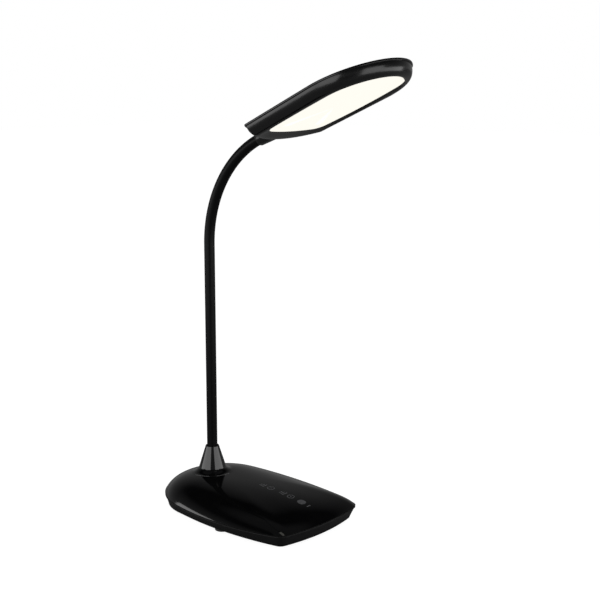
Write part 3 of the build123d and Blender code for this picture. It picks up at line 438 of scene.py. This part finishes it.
def under_rim(inset, drop):
    """A row that follows the parting line at a depth under it."""
    return [Vector((v.x, v.y, rim_height(v.x) - drop)) for v in trace(base_runs(inset))]


# ---- materials -----------------------------------------------------------------------------------
def new_material(name):
    material = bpy.data.materials.new(name)
    material.use_nodes = True
    tree = material.node_tree
    return material, tree, tree.nodes["Principled BSDF"]


def grain(tree, scale, stretch=(1, 1, 1), detail=3.0):
    """A noise pattern on the piece's own coordinates, stretched along its axes."""
    where = tree.nodes.new("ShaderNodeTexCoord")
    mapping = tree.nodes.new("ShaderNodeMapping")
    mapping.inputs["Scale"].default_value = stretch
    noise = tree.nodes.new("ShaderNodeTexNoise")
    noise.inputs["Scale"].default_value = scale
    noise.inputs["Detail"].default_value = detail
    tree.links.new(where.outputs["Object"], mapping.inputs["Vector"])
    tree.links.new(mapping.outputs["Vector"], noise.inputs["Vector"])
    return noise.outputs["Fac"]


def spread(tree, value, low, high):
    """Spreads a pattern between two values."""
    node = tree.nodes.new("ShaderNodeMapRange")
    node.inputs["From Min"].default_value, node.inputs["From Max"].default_value = PATTERN_RANGE
    node.inputs["To Min"].default_value = low
    node.inputs["To Max"].default_value = high
    tree.links.new(value, node.inputs["Value"])
    return node.outputs["Result"]


def tinted(tree, value, dark, light):
    """Two shades of a colour, mixed by a pattern."""
    ramp = tree.nodes.new("ShaderNodeValToRGB")
    for stop, place, shade in zip(ramp.color_ramp.elements, PATTERN_RANGE, (dark, light)):
        stop.position = place
        stop.color = (*shade, 1)
    tree.links.new(value, ramp.inputs["Fac"])
    return ramp.outputs["Color"]


def bumped(tree, shader, value, distance):
    """A bump by a pattern, as deep as the distance."""
    bump = tree.nodes.new("ShaderNodeBump")
    bump.inputs["Strength"].default_value = 1.0
    bump.inputs["Distance"].default_value = distance
    tree.links.new(value, bump.inputs["Height"])
    tree.links.new(bump.outputs["Normal"], shader.inputs["Normal"])


def shaded(name, base, rough, scale, metal=0.0, variation=0.15, bump=0.0, stretch=(1, 1, 1),
           rough_span=0.06, specular=0.5):
    """A finish with a colour and a roughness that vary a little, and a fine bump."""
    name += "_finish"
    if name in bpy.data.materials:
        return bpy.data.materials[name]
    material, tree, shader = new_material(name)
    pattern = grain(tree, scale, stretch)
    dark = tuple(c * (1 - variation) for c in base)
    light = tuple(min(c * (1 + variation), 1) for c in base)
    tree.links.new(tinted(tree, pattern, dark, light), shader.inputs["Base Color"])
    tree.links.new(spread(tree, pattern, rough - rough_span, rough + rough_span),
                   shader.inputs["Roughness"])
    shader.inputs["Metallic"].default_value = metal
    shader.inputs["Specular IOR Level"].default_value = specular
    if bump:
        bumped(tree, shader, pattern, bump)
    return material


def gloss_black():
    return shaded("gloss_black", tuple(settings().finish.gloss), rough=0.08, scale=60,
                  bump=0.000002, rough_span=0.02)


def head_black():
    """The head's black: a little softer in its shine than the base."""
    return shaded("head_black", tuple(settings().finish.gloss), rough=0.2, scale=60,
                  bump=0.000002, rough_span=0.03, specular=0.4)


def tray_grey():
    return shaded("tray_grey", tuple(settings().finish.tray), rough=0.45, scale=900,
                  variation=0.3, bump=0.00002, stretch=(1, 1, 0.12), specular=0.14)


def sleeve_black():
    return shaded("sleeve_black", tuple(settings().finish.sleeve), rough=0.38, scale=1400,
                  variation=0.2, bump=0.00001, specular=0.1)


def mark_grey():
    return shaded("mark_grey", tuple(settings().finish.marks), rough=0.5, scale=800)


def lit_panel():
    """The opal panel: lit all over, with a faint prism grain."""
    if "lit_panel" in bpy.data.materials:
        return bpy.data.materials["lit_panel"]
    f = settings().finish
    material, tree, shader = new_material("lit_panel")
    pattern = grain(tree, scale=1800)
    warm = tuple(f.light)
    dimmer = tuple(c * 0.985 for c in warm)
    shader.inputs["Base Color"].default_value = (0.06, 0.06, 0.055, 1)
    shader.inputs["Roughness"].default_value = 0.35
    tree.links.new(tinted(tree, pattern, dimmer, warm), shader.inputs["Emission Color"])
    shader.inputs["Emission Strength"].default_value = f.strength
    bumped(tree, shader, pattern, 0.00001)
    return material


# Colour, roughness, scale of the pattern, metal, variation of the colour, and depth of the bump.
PLAIN_FINISHES = {
    "foot_rubber": ((0.02, 0.02, 0.02), 0.7, 700, 0.0, 0.2, 0.00003),
    "iron": ((0.12, 0.12, 0.12), 0.55, 300, 0.9, 0.25, 0.00005),
    "screw_steel": ((0.5, 0.5, 0.52), 0.3, 900, 1.0, 0.1, 0.00001),
    "inner_plastic": ((0.05, 0.05, 0.05), 0.5, 500, 0.0, 0.15, 0.00001),
    "cell_foil": ((0.6, 0.6, 0.62), 0.35, 120, 0.9, 0.08, 0.00004),
    "board_green": ((0.01, 0.10, 0.04), 0.35, 200, 0.0, 0.2, 0.00001),
    "chip_black": ((0.02, 0.02, 0.02), 0.5, 900, 0.0, 0.2, 0.00001),
    "spring_steel": ((0.6, 0.6, 0.62), 0.2, 900, 1.0, 0.1, 0.0),
    "socket_black": ((0.012, 0.012, 0.012), 0.45, 700, 0.0, 0.2, 0.00001),
    "contact_brass": ((0.7, 0.5, 0.2), 0.25, 700, 1.0, 0.1, 0.0),
    "wire_jacket": ((0.02, 0.02, 0.02), 0.45, 900, 0.0, 0.2, 0.00001),
    "ferrule_brass": ((0.7, 0.5, 0.2), 0.3, 700, 1.0, 0.12, 0.00001),
    "conduit_steel": ((0.4, 0.4, 0.42), 0.3, 500, 1.0, 0.15, 0.00003),
    "reflector_white": ((0.8, 0.8, 0.8), 0.5, 400, 0.0, 0.03, 0.00001),
    "board_alu": ((0.75, 0.75, 0.75), 0.45, 300, 0.0, 0.04, 0.00001),
    "led_yellow": ((0.8, 0.6, 0.12), 0.4, 900, 0.0, 0.1, 0.00001),
}


# ---- pieces --------------------------------------------------------------------------------------
class LAMP_OT_base_cover(bpy.types.Operator):
    """The glossy domed cover of the base, with its wall"""
    bl_idname = "lamp.base_cover"
    bl_label = "Base cover"

    def execute(self, context):
        s, count, inner = settings().base, settings().finish.rings, 12
        edge = 0.0004       # round of the lower edge
        short = 0.35        # the last ring lies this share of a step before the middle

        def crown(inset, part, lift=0.0):
            share = cos(pi / 2 * part)
            return [crown_point(v.x, v.y, share, inset) + Vector((0, 0, lift))
                    for v in trace(base_runs(inset))]

        rows = [crown(s.wall, k / (inner + short)) for k in range(inner, -1, -1)]
        rows += [crown(edge, 0), crown(edge * 0.3, 0, edge * 0.3), crown(0, 0, edge)]
        rows += [crown(0, k / (count + short)) for k in range(1, count + 1)]
        finish_mesh(skin(rows), "base_cover_shell", "base", ["base_cover"], gloss_black(),
                    sharp=60)
        return {"FINISHED"}


class LAMP_OT_base_tray(bpy.types.Operator):
    """The satin tray under the cover, with its thin edge and its hollow"""
    bl_idname = "lamp.base_tray"
    bl_label = "Base tray"

    def execute(self, context):
        s = settings().base
        floor, lip, gap = 0.0025, 0.0013, 0.00012       # thicknesses, and the gap under the cover
        round_r, fillet = 0.0014, 0.001                 # rounds of the foot, outside and inside
        inwards, wall_in = 0.012, 0.001
        wall_zs = (0.0098, 0.0078, 0.0060)
        apart, rear_lean, rear_reach = 0.004, 0.45, 0.06
        top_z, floor_z = s.rim_z + s.rim_rise, s.foot_z + floor
        outer, inner = trace(base_runs()), trace(base_runs(apart))
        count, foot_in = len(outer), s.undercut + s.wall
        # The wall stands steeper at the rear.
        leans = [between(rear_lean, 1, eased((v.x - s.rear_x) / rear_reach)) for v in outer]

        def taper(z):
            return s.undercut * (top_z - z) / (top_z - s.foot_z)

        def wall(depth, heights):
            return [Vector((*a.lerp(b, depth(z) * lean / apart).xy, z))
                    for a, b, lean, z in zip(outer, inner, leans, heights)]

        def wall_under(drop):
            return wall(taper, [low.z for low in under_rim(wall_in, drop)])

        rows = [trace(base_runs(foot_in + inwards), floor_z),
                trace(base_runs(foot_in + fillet), floor_z),
                trace(base_runs(foot_in), floor_z + fillet)]
        # The edge's section: how far in from the outline, and how far under the parting line.
        rows += [under_rim(inset, drop) for inset, drop in (
            (s.wall + 0.0022, 0.003), (s.wall + 0.0014, gap), (0.0009, gap), (0.00065, gap + 0.0001),
            (0.0001, lip - 0.0003), (0.0001, lip - 0.0001), (0.0003, lip))]
        rows += [wall_under(lip + 0.00005), wall_under(lip + 0.0006)]
        rows += [wall(taper, [z] * count) for z in wall_zs]
        for a in quarter(6):
            inset = taper(s.foot_z + round_r) + round_r * (1 - cos(a))
            rows.append(wall(lambda z: inset, [s.foot_z + round_r * (1 - sin(a))] * count))
        rows.append(trace(base_runs(s.undercut + inwards), s.foot_z))
        finish_mesh(skin(rows), "base_tray_shell", "base", ["base_tray"], tray_grey(),
                    sharp=50)
        return {"FINISHED"}


class LAMP_OT_touch_marks(bpy.types.Operator):
    """Printed touch marks on the cover: two signs of a dot and bars, a disc and a short bar"""
    bl_idname = "lamp.touch_marks"
    bl_label = "Touch marks"

    def execute(self, context):
        # The marks stand in one row along the cover. These sizes are in millimetres.
        row_y, sign_xs, line_half, around = 1.6, (70.5, 95.5), 0.55, 32
        ring_ahead, ring_r, ring_line, dot_r = 5.2, 3.7, 0.8, 0.8
        bar_start, bar_pitch, bar_half, bar_growth = 7.4, 2.4, 2.0, 0.75
        disc_x, disc_r, end_x, end_half = 114, 4.1, 122.6, 2.2
        above, below = 0.00009, 0.0003      # the print's height over the cover, and its depth in it
        bm = bmesh.new()
        signs = []
        for x in sign_xs:
            signs.append((x + ring_ahead, ring_r, 0))
            signs += [(x + bar_pitch * i - bar_start, line_half, bar_half + bar_growth * i)
                      for i in range(3)]
        signs += [(disc_x, disc_r, disc_r), (end_x, line_half, end_half)]
        for x, half_x, half_y in signs:
            old = set(bm.verts)
            if half_x == half_y:
                bmesh.ops.create_circle(bm, segments=around, radius=half_x * MM, cap_ends=True)
            elif not half_y:
                made = bmesh.ops.create_circle(bm, segments=around, radius=half_x * MM)
                edges = list({e for v in made["verts"] for e in v.link_edges})
                made = bmesh.ops.extrude_edge_only(bm, edges=edges)["geom"]
                inner = [v for v in made if isinstance(v, bmesh.types.BMVert)]
                bmesh.ops.scale(bm, vec=(1 - ring_line / half_x,) * 3, verts=inner)
                bmesh.ops.create_circle(bm, segments=12, radius=dot_r * MM, cap_ends=True)
            else:
                bmesh.ops.create_grid(bm, x_segments=2, y_segments=6, size=1)
                bmesh.ops.scale(bm, vec=(half_x * MM, half_y * MM, 1),
                                verts=[v for v in bm.verts if v not in old])
            fresh = [v for v in bm.verts if v not in old]
            bmesh.ops.translate(bm, vec=(x * MM, row_y * MM, 0), verts=fresh)
        height = cover_height()
        faces = bm.faces[:]
        made = bmesh.ops.extrude_face_region(bm, geom=faces)["geom"]
        top = {v for v in made if isinstance(v, bmesh.types.BMVert)}
        for v in bm.verts:
            v.co.z = height(v.co.x, v.co.y) + (above if v in top else -below)
        finish_mesh(bm, "printed_marks", "base", ["touch_marks"], mark_grey())
        return {"FINISHED"}


class LAMP_OT_collar(bpy.types.Operator):
    """The glossy cone at the neck's foot, whose skirt flares out onto the cover"""
    bl_idname = "lamp.collar"
    bl_label = "Neck collar"

    def execute(self, context):
        s, steps = settings().neck, 12
        fit, lip, wall, depth = 0.00025, 0.0009, 0.002, 0.008
        chamfer, flare, thin = 0.0003, 2.6, 0.0001
        bore, cone_top = s.radius + fit, s.collar_top_z - lip
        height = cover_height()

        def on_cover(radius, rise):
            return [Vector((v.x, v.y, height(v.x, v.y) + rise)) for v in ring(radius, 0)]

        rows = [ring(bore, s.collar_top_z - depth), ring(bore, s.collar_top_z - chamfer),
                ring(bore + chamfer, s.collar_top_z)]
        rows += [ring(s.collar_top_r - lip + lip * sin(a), s.collar_top_z - lip + lip * cos(a))
                 for a in quarter(6)]
        parts = [number / steps for number in range(1, steps + 1)]
        rows += [ring(between(s.collar_top_r, s.collar_foot_r, part),
                      between(cone_top, s.collar_foot_z, part)) for part in parts]
        # The skirt turns quickly out of the cone and runs down onto the cover.
        for part in parts:
            above = (1 - part) ** flare
            rows.append([v + Vector((0, 0, (s.collar_foot_z - height(v.x, v.y)) * above))
                         for v in on_cover(between(s.collar_foot_r, s.skirt_r, part), 2 * thin)])
        inside = s.collar_foot_r - wall
        rows += [on_cover(s.skirt_r + thin, -2 * thin), on_cover(s.collar_foot_r, -3 * thin),
                 on_cover(inside, -thin), ring(inside, s.collar_foot_z)]
        finish_mesh(skin(rows, closed=True), "collar_cone", "base", ["neck_collar"], gloss_black(),
                    sharp=50)
        return {"FINISHED"}


# ---- neck ----------------------------------------------------------------------------------------
def neck_frame(distance):
    """A place on the neck's middle line, with its Z axis along the neck."""
    s = settings().neck
    if distance <= s.straight:
        return Matrix.Translation((0, 0, s.collar_top_z + distance))
    turned = min((distance - s.straight) / s.bend_r, s.bend)
    past = distance - s.straight - turned * s.bend_r
    x = s.bend_r * (1 - cos(turned)) + past * sin(turned)
    z = s.collar_top_z + s.straight + s.bend_r * sin(turned) + past * cos(turned)
    return Matrix.Translation((x, 0, z)) @ Matrix.Rotation(turned, 4, "Y")


def neck_end():
    s = settings().neck
    return s.straight + s.bend_r * s.bend


def neck_joints():
    """Distances of the hinges along the neck, from the frame's own joints."""
    s = settings().neck
    found = []
    for joint in frame["joints"]:
        x, _, z = joint["pos_m"]
        if z <= s.collar_top_z + s.straight:
            found.append(z - s.collar_top_z)
        else:
            turned = atan2(z - s.collar_top_z - s.straight, s.bend_r - x)
            found.append(s.straight + s.bend_r * turned)
    return found


class LAMP_OT_neck(bpy.types.Operator):
    """The black sleeve of the neck: one length on each link, with a round foot in the one below"""
    bl_idname = "lamp.neck"
    bl_label = "Neck sleeve"

    def execute(self, context):
        s = settings().neck
        root, tip = 0.009, 0.007        # how far the sleeve reaches into the collar and the head
        pitch, count, ball_rows, play = 0.0011, 40, 5, 0.00003
        foot_r = s.radius - play
        bodies = [frame["joints"][0]["parent"], *(joint["child"] for joint in frame["joints"])]
        stations = [-root, *neck_joints(), neck_end() + tip]

        def round_row(distance, radius, z=0.0):
            place = neck_frame(distance)
            return [place @ point for point in ring(radius, z, count)]

        def ball(distance, radius, start, end):
            """Rows on the lower half of a ball about a hinge, between two angles under its middle."""
            angles = [between(start, end, k / ball_rows) for k in range(ball_rows + 1)]
            return [round_row(distance, radius * cos(a), -radius * sin(a)) for a in angles]

        def along(start, end, radius):
            steps = max(int(abs(end - start) / pitch), 2)
            return [round_row(between(start, end, k / steps), radius) for k in range(steps + 1)]

        socket, foot = acos(s.bore / s.radius), acos(s.bore / foot_r)
        for number, body in enumerate(bodies):
            low, high = stations[number], stations[number + 1]
            rows, bore_low, bore_high = [round_row(low, s.bore)], low, high
            if number:
                rows, bore_low = ball(low, foot_r, foot, 0.0), low - foot_r * sin(foot)
            rows += along(low, high, s.radius)
            if number < len(bodies) - 1:
                rows += ball(high, s.radius, 0.0, socket)[1:]
                bore_high = high - s.radius * sin(socket)
            else:
                rows.append(round_row(high, s.bore))
            rows += along(bore_high, bore_low, s.bore)[1:-1]
            finish_mesh(skin(rows, closed=True), f"sleeve_length_{number}", body,
                        [f"neck_sleeve_{number}"], sleeve_black(), sharp=60)
        return {"FINISHED"}


# ---- head ----------------------------------------------------------------------------------------
# The nose that holds the neck, as places along the head and radii, in millimetres: its bore and
# mouth, its swelling outside, and its hollow inside.
NOSE_PROFILE = ((-89.0, 5.05), (-96.2, 5.05), (-96.5, 5.35), (-96.5, 6.0), (-96.4, 6.2), (-96.2, 6.3),
                (-92, 6.55), (-86, 6.95), (-80, 7.3), (-74, 7.6), (-70, 7.65), (-66, 7.45), (-62, 7.0),
                (-58, 6.4), (-58, 5.2), (-64, 5.6), (-72, 5.8), (-75, 5.8))


def head_frame():
    """The head's frame: x forward, z up, origin in the middle of the lit face."""
    s = settings().head
    turn = Matrix.Rotation(-pi / 2, 4, "Y")
    return neck_frame(neck_end()) @ turn @ Matrix.Translation((-s.nose_x, 0, -s.axis_z))


class LAMP_OT_head_lower(bpy.types.Operator):
    """The lower shell of the head: a rounded bowl round the lit panel, with the nose for the neck"""
    bl_idname = "lamp.head_lower"
    bl_label = "Head lower shell"

    def execute(self, context):
        s, p = settings().head, settings().panel
        lip_low = s.lip_z - s.lip
        well_z, ledge_z, edge = 0.003, 0.001, 0.0001

        def bowl(inset, turn):
            low = s.deep_z + inset
            z = low + (lip_low - low) * (1 - cos(turn))
            return trace(head_runs(s.overhang + inset + (s.round_r - inset) * (1 - sin(turn))), z)

        section = ((-p.recess, well_z), (-p.recess, ledge_z), (0.0, ledge_z), (0.0, -edge),
                   (-edge, -2 * edge))
        rows = [trace(panel_runs(inset), z) for inset, z in section]
        # The underside slopes gently down from the panel to the start of the bowl's rounding.
        for part in (0.15, 0.4, 0.7):
            z = between(-2 * edge, s.deep_z, eased(part))
            rows.append([Vector((*a.lerp(b, part).xy, z))
                         for a, b in zip(trace(panel_runs(-edge)), bowl(0.0, 0.0))])
        rows += [bowl(0.0, a) for a in quarter(15)]
        rows += [bowl(s.wall, a) for a in quarter(9)[:0:-1]]
        finish_mesh(skin(rows, closed=True), "head_bowl", "head", ["head_lower_shell"], head_black(),
                    sharp=45, place=head_frame())

        along = head_frame() @ Matrix.Translation((0, 0, s.axis_z)) @ Matrix.Rotation(pi / 2, 4, "Y")
        nose = [ring(radius * MM, x * MM, count=64) for x, radius in NOSE_PROFILE]
        finish_mesh(skin(nose, closed=True), "head_nose", "head", None, head_black(),
                    sharp=45, place=along)
        return {"FINISHED"}


class LAMP_OT_head_top(bpy.types.Operator):
    """The upper shell of the head: a thin crowned plate whose edge stands out over the lower shell"""
    bl_idname = "lamp.head_top"
    bl_label = "Head top shell"

    def execute(self, context):
        s = settings().head
        lip_low = s.lip_z - s.lip
        wall, chamfer, low_r, high_r = 0.0018, 0.0002, 0.0004, 0.0007
        count, short = 20, 0.6      # rings of the top, whose last lies short of the middle

        def dome(inset, part, drop):
            """A row of the crowned plate: part runs from 0 at the edge to 1 in the middle."""
            middle = (s.front_x + s.corner_x - s.rear_sag) / 2
            share = 1 - part
            z = s.lip_z - drop + s.crown * (1 - share**2)
            return [Vector((middle + (v.x - middle) * share, v.y * share, z))
                    for v in trace(head_runs(inset))]

        rows = [dome(wall, part, wall) for part in (0.97, 0.8, 0.6, 0.4, 0.2, 0.06, 0.0)]
        rows += [trace(head_runs(wall), lip_low + chamfer), trace(head_runs(wall - chamfer), lip_low)]
        rows += [trace(head_runs(low_r * (1 - sin(a))), lip_low + low_r * (1 - cos(a)))
                 for a in quarter(3)]
        rows += [trace(head_runs(high_r * (1 - cos(a))), s.lip_z - high_r * (1 - sin(a)))
                 for a in quarter(3)]
        rows += [dome(high_r, k / (count + short), 0.0) for k in range(1, count + 1)]
        finish_mesh(skin(rows), "head_plate", "head", ["head_top_shell"], head_black(),
                    sharp=50, place=head_frame())
        return {"FINISHED"}


class LAMP_OT_panel(bpy.types.Operator):
    """The opal diffuser that the lamp shines through"""
    bl_idname = "lamp.panel"
    bl_label = "Lit panel"

    def execute(self, context):
        p = settings().panel
        fit, thick, round_r = 0.0001, 0.002, 0.0003
        # The section: how far in from the outline, and how far over the lit face.
        section = ((0.012, thick), (fit - p.recess, thick), (fit - p.recess, 0.00105), (fit, 0.00095),
                   (fit, round_r), (fit + round_r, 0.0), (0.008, 0.0), (0.018, 0.0))
        rows = [trace(panel_runs(inset), z) for inset, z in section]
        finish_mesh(skin(rows), "lit_face", "head", ["diffuser"], lit_panel(),
                    place=head_frame())
        return {"FINISHED"}


class LAMP_OT_inner_finishes(bpy.types.Operator):
    """Finishes for the pieces inside the lamp and for its feet"""
    bl_idname = "lamp.inner_finishes"
    bl_label = "Inner finishes"

    def execute(self, context):
        slots = {part["node"]: part["material_slot"] for part in frame["record"]["subparts"]}
        for name, node in frame["nodes"].items():
            slot = slots[name]
            if slot in PLAIN_FINISHES:
                node.data.materials.clear()
                node.data.materials.append(shaded(slot, *PLAIN_FINISHES[slot]))
        return {"FINISHED"}


# ---- stage ---------------------------------------------------------------------------------------
FLOOR_HALF = 6.0
FLOOR_GLOW = 0.92           # brightness of the floor to the camera
FLOOR_MIRRORED = 0.03       # share of it that mirror images get
WORLD_LEVEL = 0.35          # the world's light, but for mirror images and the camera
# The world in mirror images: places from straight down to straight up, and their brightness.
WORLD_STOPS = ((0.0, 0.3), (0.34, 0.14), (0.5, 0.08), (0.59, 0.04), (0.65, 0.0), (0.75, 0.0),
               (0.82, 0.06), (1.0, 0.06))
# The soft boxes: where each begins and ends, in degrees from behind the camera, and its height.
BOXES = (("box_left", -17, -62, 0.72), ("box_far_left", -62, -104, 0.4),
         ("box_right", 25, 62, 0.72), ("box_far_right", 62, 106, 0.44))
BOX_DISTANCE = 1.2
BOX_RADIANCE = 2.4
BOX_TARGET = (0.07, 0.0, 0.15)
CAMERA_PLACE = (0.8020, -0.7820, 0.4171)
CAMERA_RIGHT = (0.7505, 0.6608, 0.0)
CAMERA_AHEAD = (-0.6487, 0.7367, -0.1908)


def calculated(tree, operation, first, second, clamp=False):
    """A Math node on an output and another output or a number."""
    node = tree.nodes.new("ShaderNodeMath")
    node.operation = operation
    node.use_clamp = clamp
    tree.links.new(first, node.inputs[0])
    if isinstance(second, float):
        node.inputs[1].default_value = second
    else:
        tree.links.new(second, node.inputs[1])
    return node.outputs[0]


def seen_rays(tree, mirrored):
    """1 for the rays of the camera and of glass, a share for mirror images, and 0 for the rest."""
    rays = tree.nodes.new("ShaderNodeLightPath")
    total = calculated(tree, "MULTIPLY", rays.outputs["Is Glossy Ray"], mirrored)
    for name in ("Is Camera Ray", "Is Transmission Ray"):
        total = calculated(tree, "ADD", total, rays.outputs[name], clamp=True)
    return total


def make_floor():
    """A pale floor that looks white to the camera and keeps the lamp's shadow."""
    bm = bmesh.new()
    bmesh.ops.create_grid(bm, x_segments=1, y_segments=1, size=FLOOR_HALF)
    mesh = bpy.data.meshes.new("floor")
    bm.to_mesh(mesh)
    bm.free()
    floor = linked("floor", mesh)
    material, tree, shader = new_material("floor_white")
    shader.inputs["Base Color"].default_value = (0.3, 0.3, 0.3, 1)
    shader.inputs["Roughness"].default_value = 0.9
    shader.inputs["Specular IOR Level"].default_value = 0.0
    shader.inputs["Emission Color"].default_value = (1, 1, 1, 1)
    glow = calculated(tree, "MULTIPLY", seen_rays(tree, FLOOR_MIRRORED), FLOOR_GLOW)
    tree.links.new(glow, shader.inputs["Emission Strength"])
    mesh.materials.append(material)


def make_world(scene):
    """A world that is white to the camera, and dark with a soft change of height in mirror images."""
    world = bpy.data.worlds.new("studio")
    scene.world = world
    world.use_nodes = True
    tree = world.node_tree
    back = tree.nodes["Background"]
    back.inputs["Color"].default_value = (1, 1, 1, 1)
    where = tree.nodes.new("ShaderNodeTexCoord")
    height = tree.nodes.new("ShaderNodeSeparateXYZ")
    tree.links.new(where.outputs["Generated"], height.inputs[0])
    fade = tree.nodes.new("ShaderNodeValToRGB")
    stops = fade.color_ramp.elements
    for place, _ in WORLD_STOPS[1:-1]:
        stops.new(place)
    for stop, (place, level) in zip(stops, WORLD_STOPS):
        stop.position = place
        stop.color = (level, level, level, 1)
    tree.links.new(height.outputs["Z"], fade.inputs["Fac"])
    rays = tree.nodes.new("ShaderNodeLightPath")
    mirrored = tree.nodes.new("ShaderNodeMix")
    mirrored.inputs["A"].default_value = WORLD_LEVEL
    tree.links.new(rays.outputs["Is Glossy Ray"], mirrored.inputs["Factor"])
    tree.links.new(fade.outputs["Color"], mirrored.inputs["B"])
    shown = tree.nodes.new("ShaderNodeMix")
    shown.inputs["B"].default_value = 1.0
    direct = calculated(tree, "ADD", rays.outputs["Is Camera Ray"],
                        rays.outputs["Is Transmission Ray"], clamp=True)
    tree.links.new(direct, shown.inputs["Factor"])
    tree.links.new(mirrored.outputs["Result"], shown.inputs["A"])
    tree.links.new(shown.outputs["Result"], back.inputs["Strength"])


def make_boxes(ahead):
    """Soft boxes that stand round the lamp and lean towards it."""
    behind = Vector((-ahead.x, -ahead.y, 0)).normalized()
    target = Vector(BOX_TARGET)
    for name, low, far, tall in BOXES:
        light = bpy.data.lights.new(name, "AREA")
        light.shape = "RECTANGLE"
        light.size, light.size_y = 2 * BOX_DISTANCE * tan(radians(abs(far - low) / 2)), tall
        light.energy = BOX_RADIANCE * pi * light.size * light.size_y
        box = linked(name, light)
        where = Matrix.Rotation(radians((low + far) / 2), 3, "Z") @ behind * BOX_DISTANCE
        spot = Vector((target.x + where.x, target.y + where.y, tall / 2))
        turn = (target - spot).to_track_quat("-Z", "Y").to_matrix().to_4x4()
        box.matrix_world = Matrix.Translation(spot) @ turn
        box.visible_camera = False


def make_camera(scene, right, ahead):
    camera = bpy.data.cameras.new("camera")
    camera.lens = 72
    camera.sensor_width = 36
    camera.sensor_fit = "HORIZONTAL"
    camera.clip_end = 50
    eye = linked("camera", camera)
    turn = Matrix((right, right.cross(ahead), -ahead)).transposed().to_4x4()
    eye.matrix_world = Matrix.Translation(CAMERA_PLACE) @ turn
    scene.camera = eye


class LAMP_OT_stage(bpy.types.Operator):
    """A pale floor, a dim world, four standing soft boxes and the camera"""
    bl_idname = "lamp.stage"
    bl_label = "Stage"

    def execute(self, context):
        scene = context.scene
        scene.view_settings.view_transform = "Standard"
        right, ahead = Vector(CAMERA_RIGHT).normalized(), Vector(CAMERA_AHEAD).normalized()
        make_floor()
        make_world(scene)
        make_boxes(ahead)
        make_camera(scene, right, ahead)
        return {"FINISHED"}


class LAMP_PT_panel(bpy.types.Panel):
    """Lists the lamp's pieces and their settings"""
    bl_label = "Desk lamp"
    bl_idname = "LAMP_PT_panel"
    bl_space_type = "VIEW_3D"
    bl_region_type = "UI"
    bl_category = "Lamp"

    def draw(self, context):
        lamp = context.scene.desk_lamp
        for group in (lamp.base, lamp.neck, lamp.head, lamp.panel, lamp.finish):
            box = self.layout.box()
            for name in group.__annotations__:
                box.prop(group, name)
        for piece in PIECES:
            self.layout.operator(piece.bl_idname)


GROUPS = (BaseSizes, NeckSizes, HeadSizes, PanelSizes, Finishes, LampSettings)
PIECES = (LAMP_OT_stage, LAMP_OT_base_cover, LAMP_OT_base_tray, LAMP_OT_touch_marks, LAMP_OT_collar,
          LAMP_OT_neck, LAMP_OT_head_lower, LAMP_OT_head_top, LAMP_OT_panel, LAMP_OT_inner_finishes)


def register():
    for made in (*GROUPS, *PIECES, LAMP_PT_panel):
        bpy.utils.register_class(made)
    bpy.types.Scene.desk_lamp = PointerProperty(type=LampSettings)


def unregister():
    del bpy.types.Scene.desk_lamp
    for made in reversed((*GROUPS, *PIECES, LAMP_PT_panel)):
        bpy.utils.unregister_class(made)


def main():
    register()
    for piece in PIECES:
        group, name = piece.bl_idname.split(".")
        getattr(getattr(bpy.ops, group), name)()


if __name__ == "__main__":
    main()
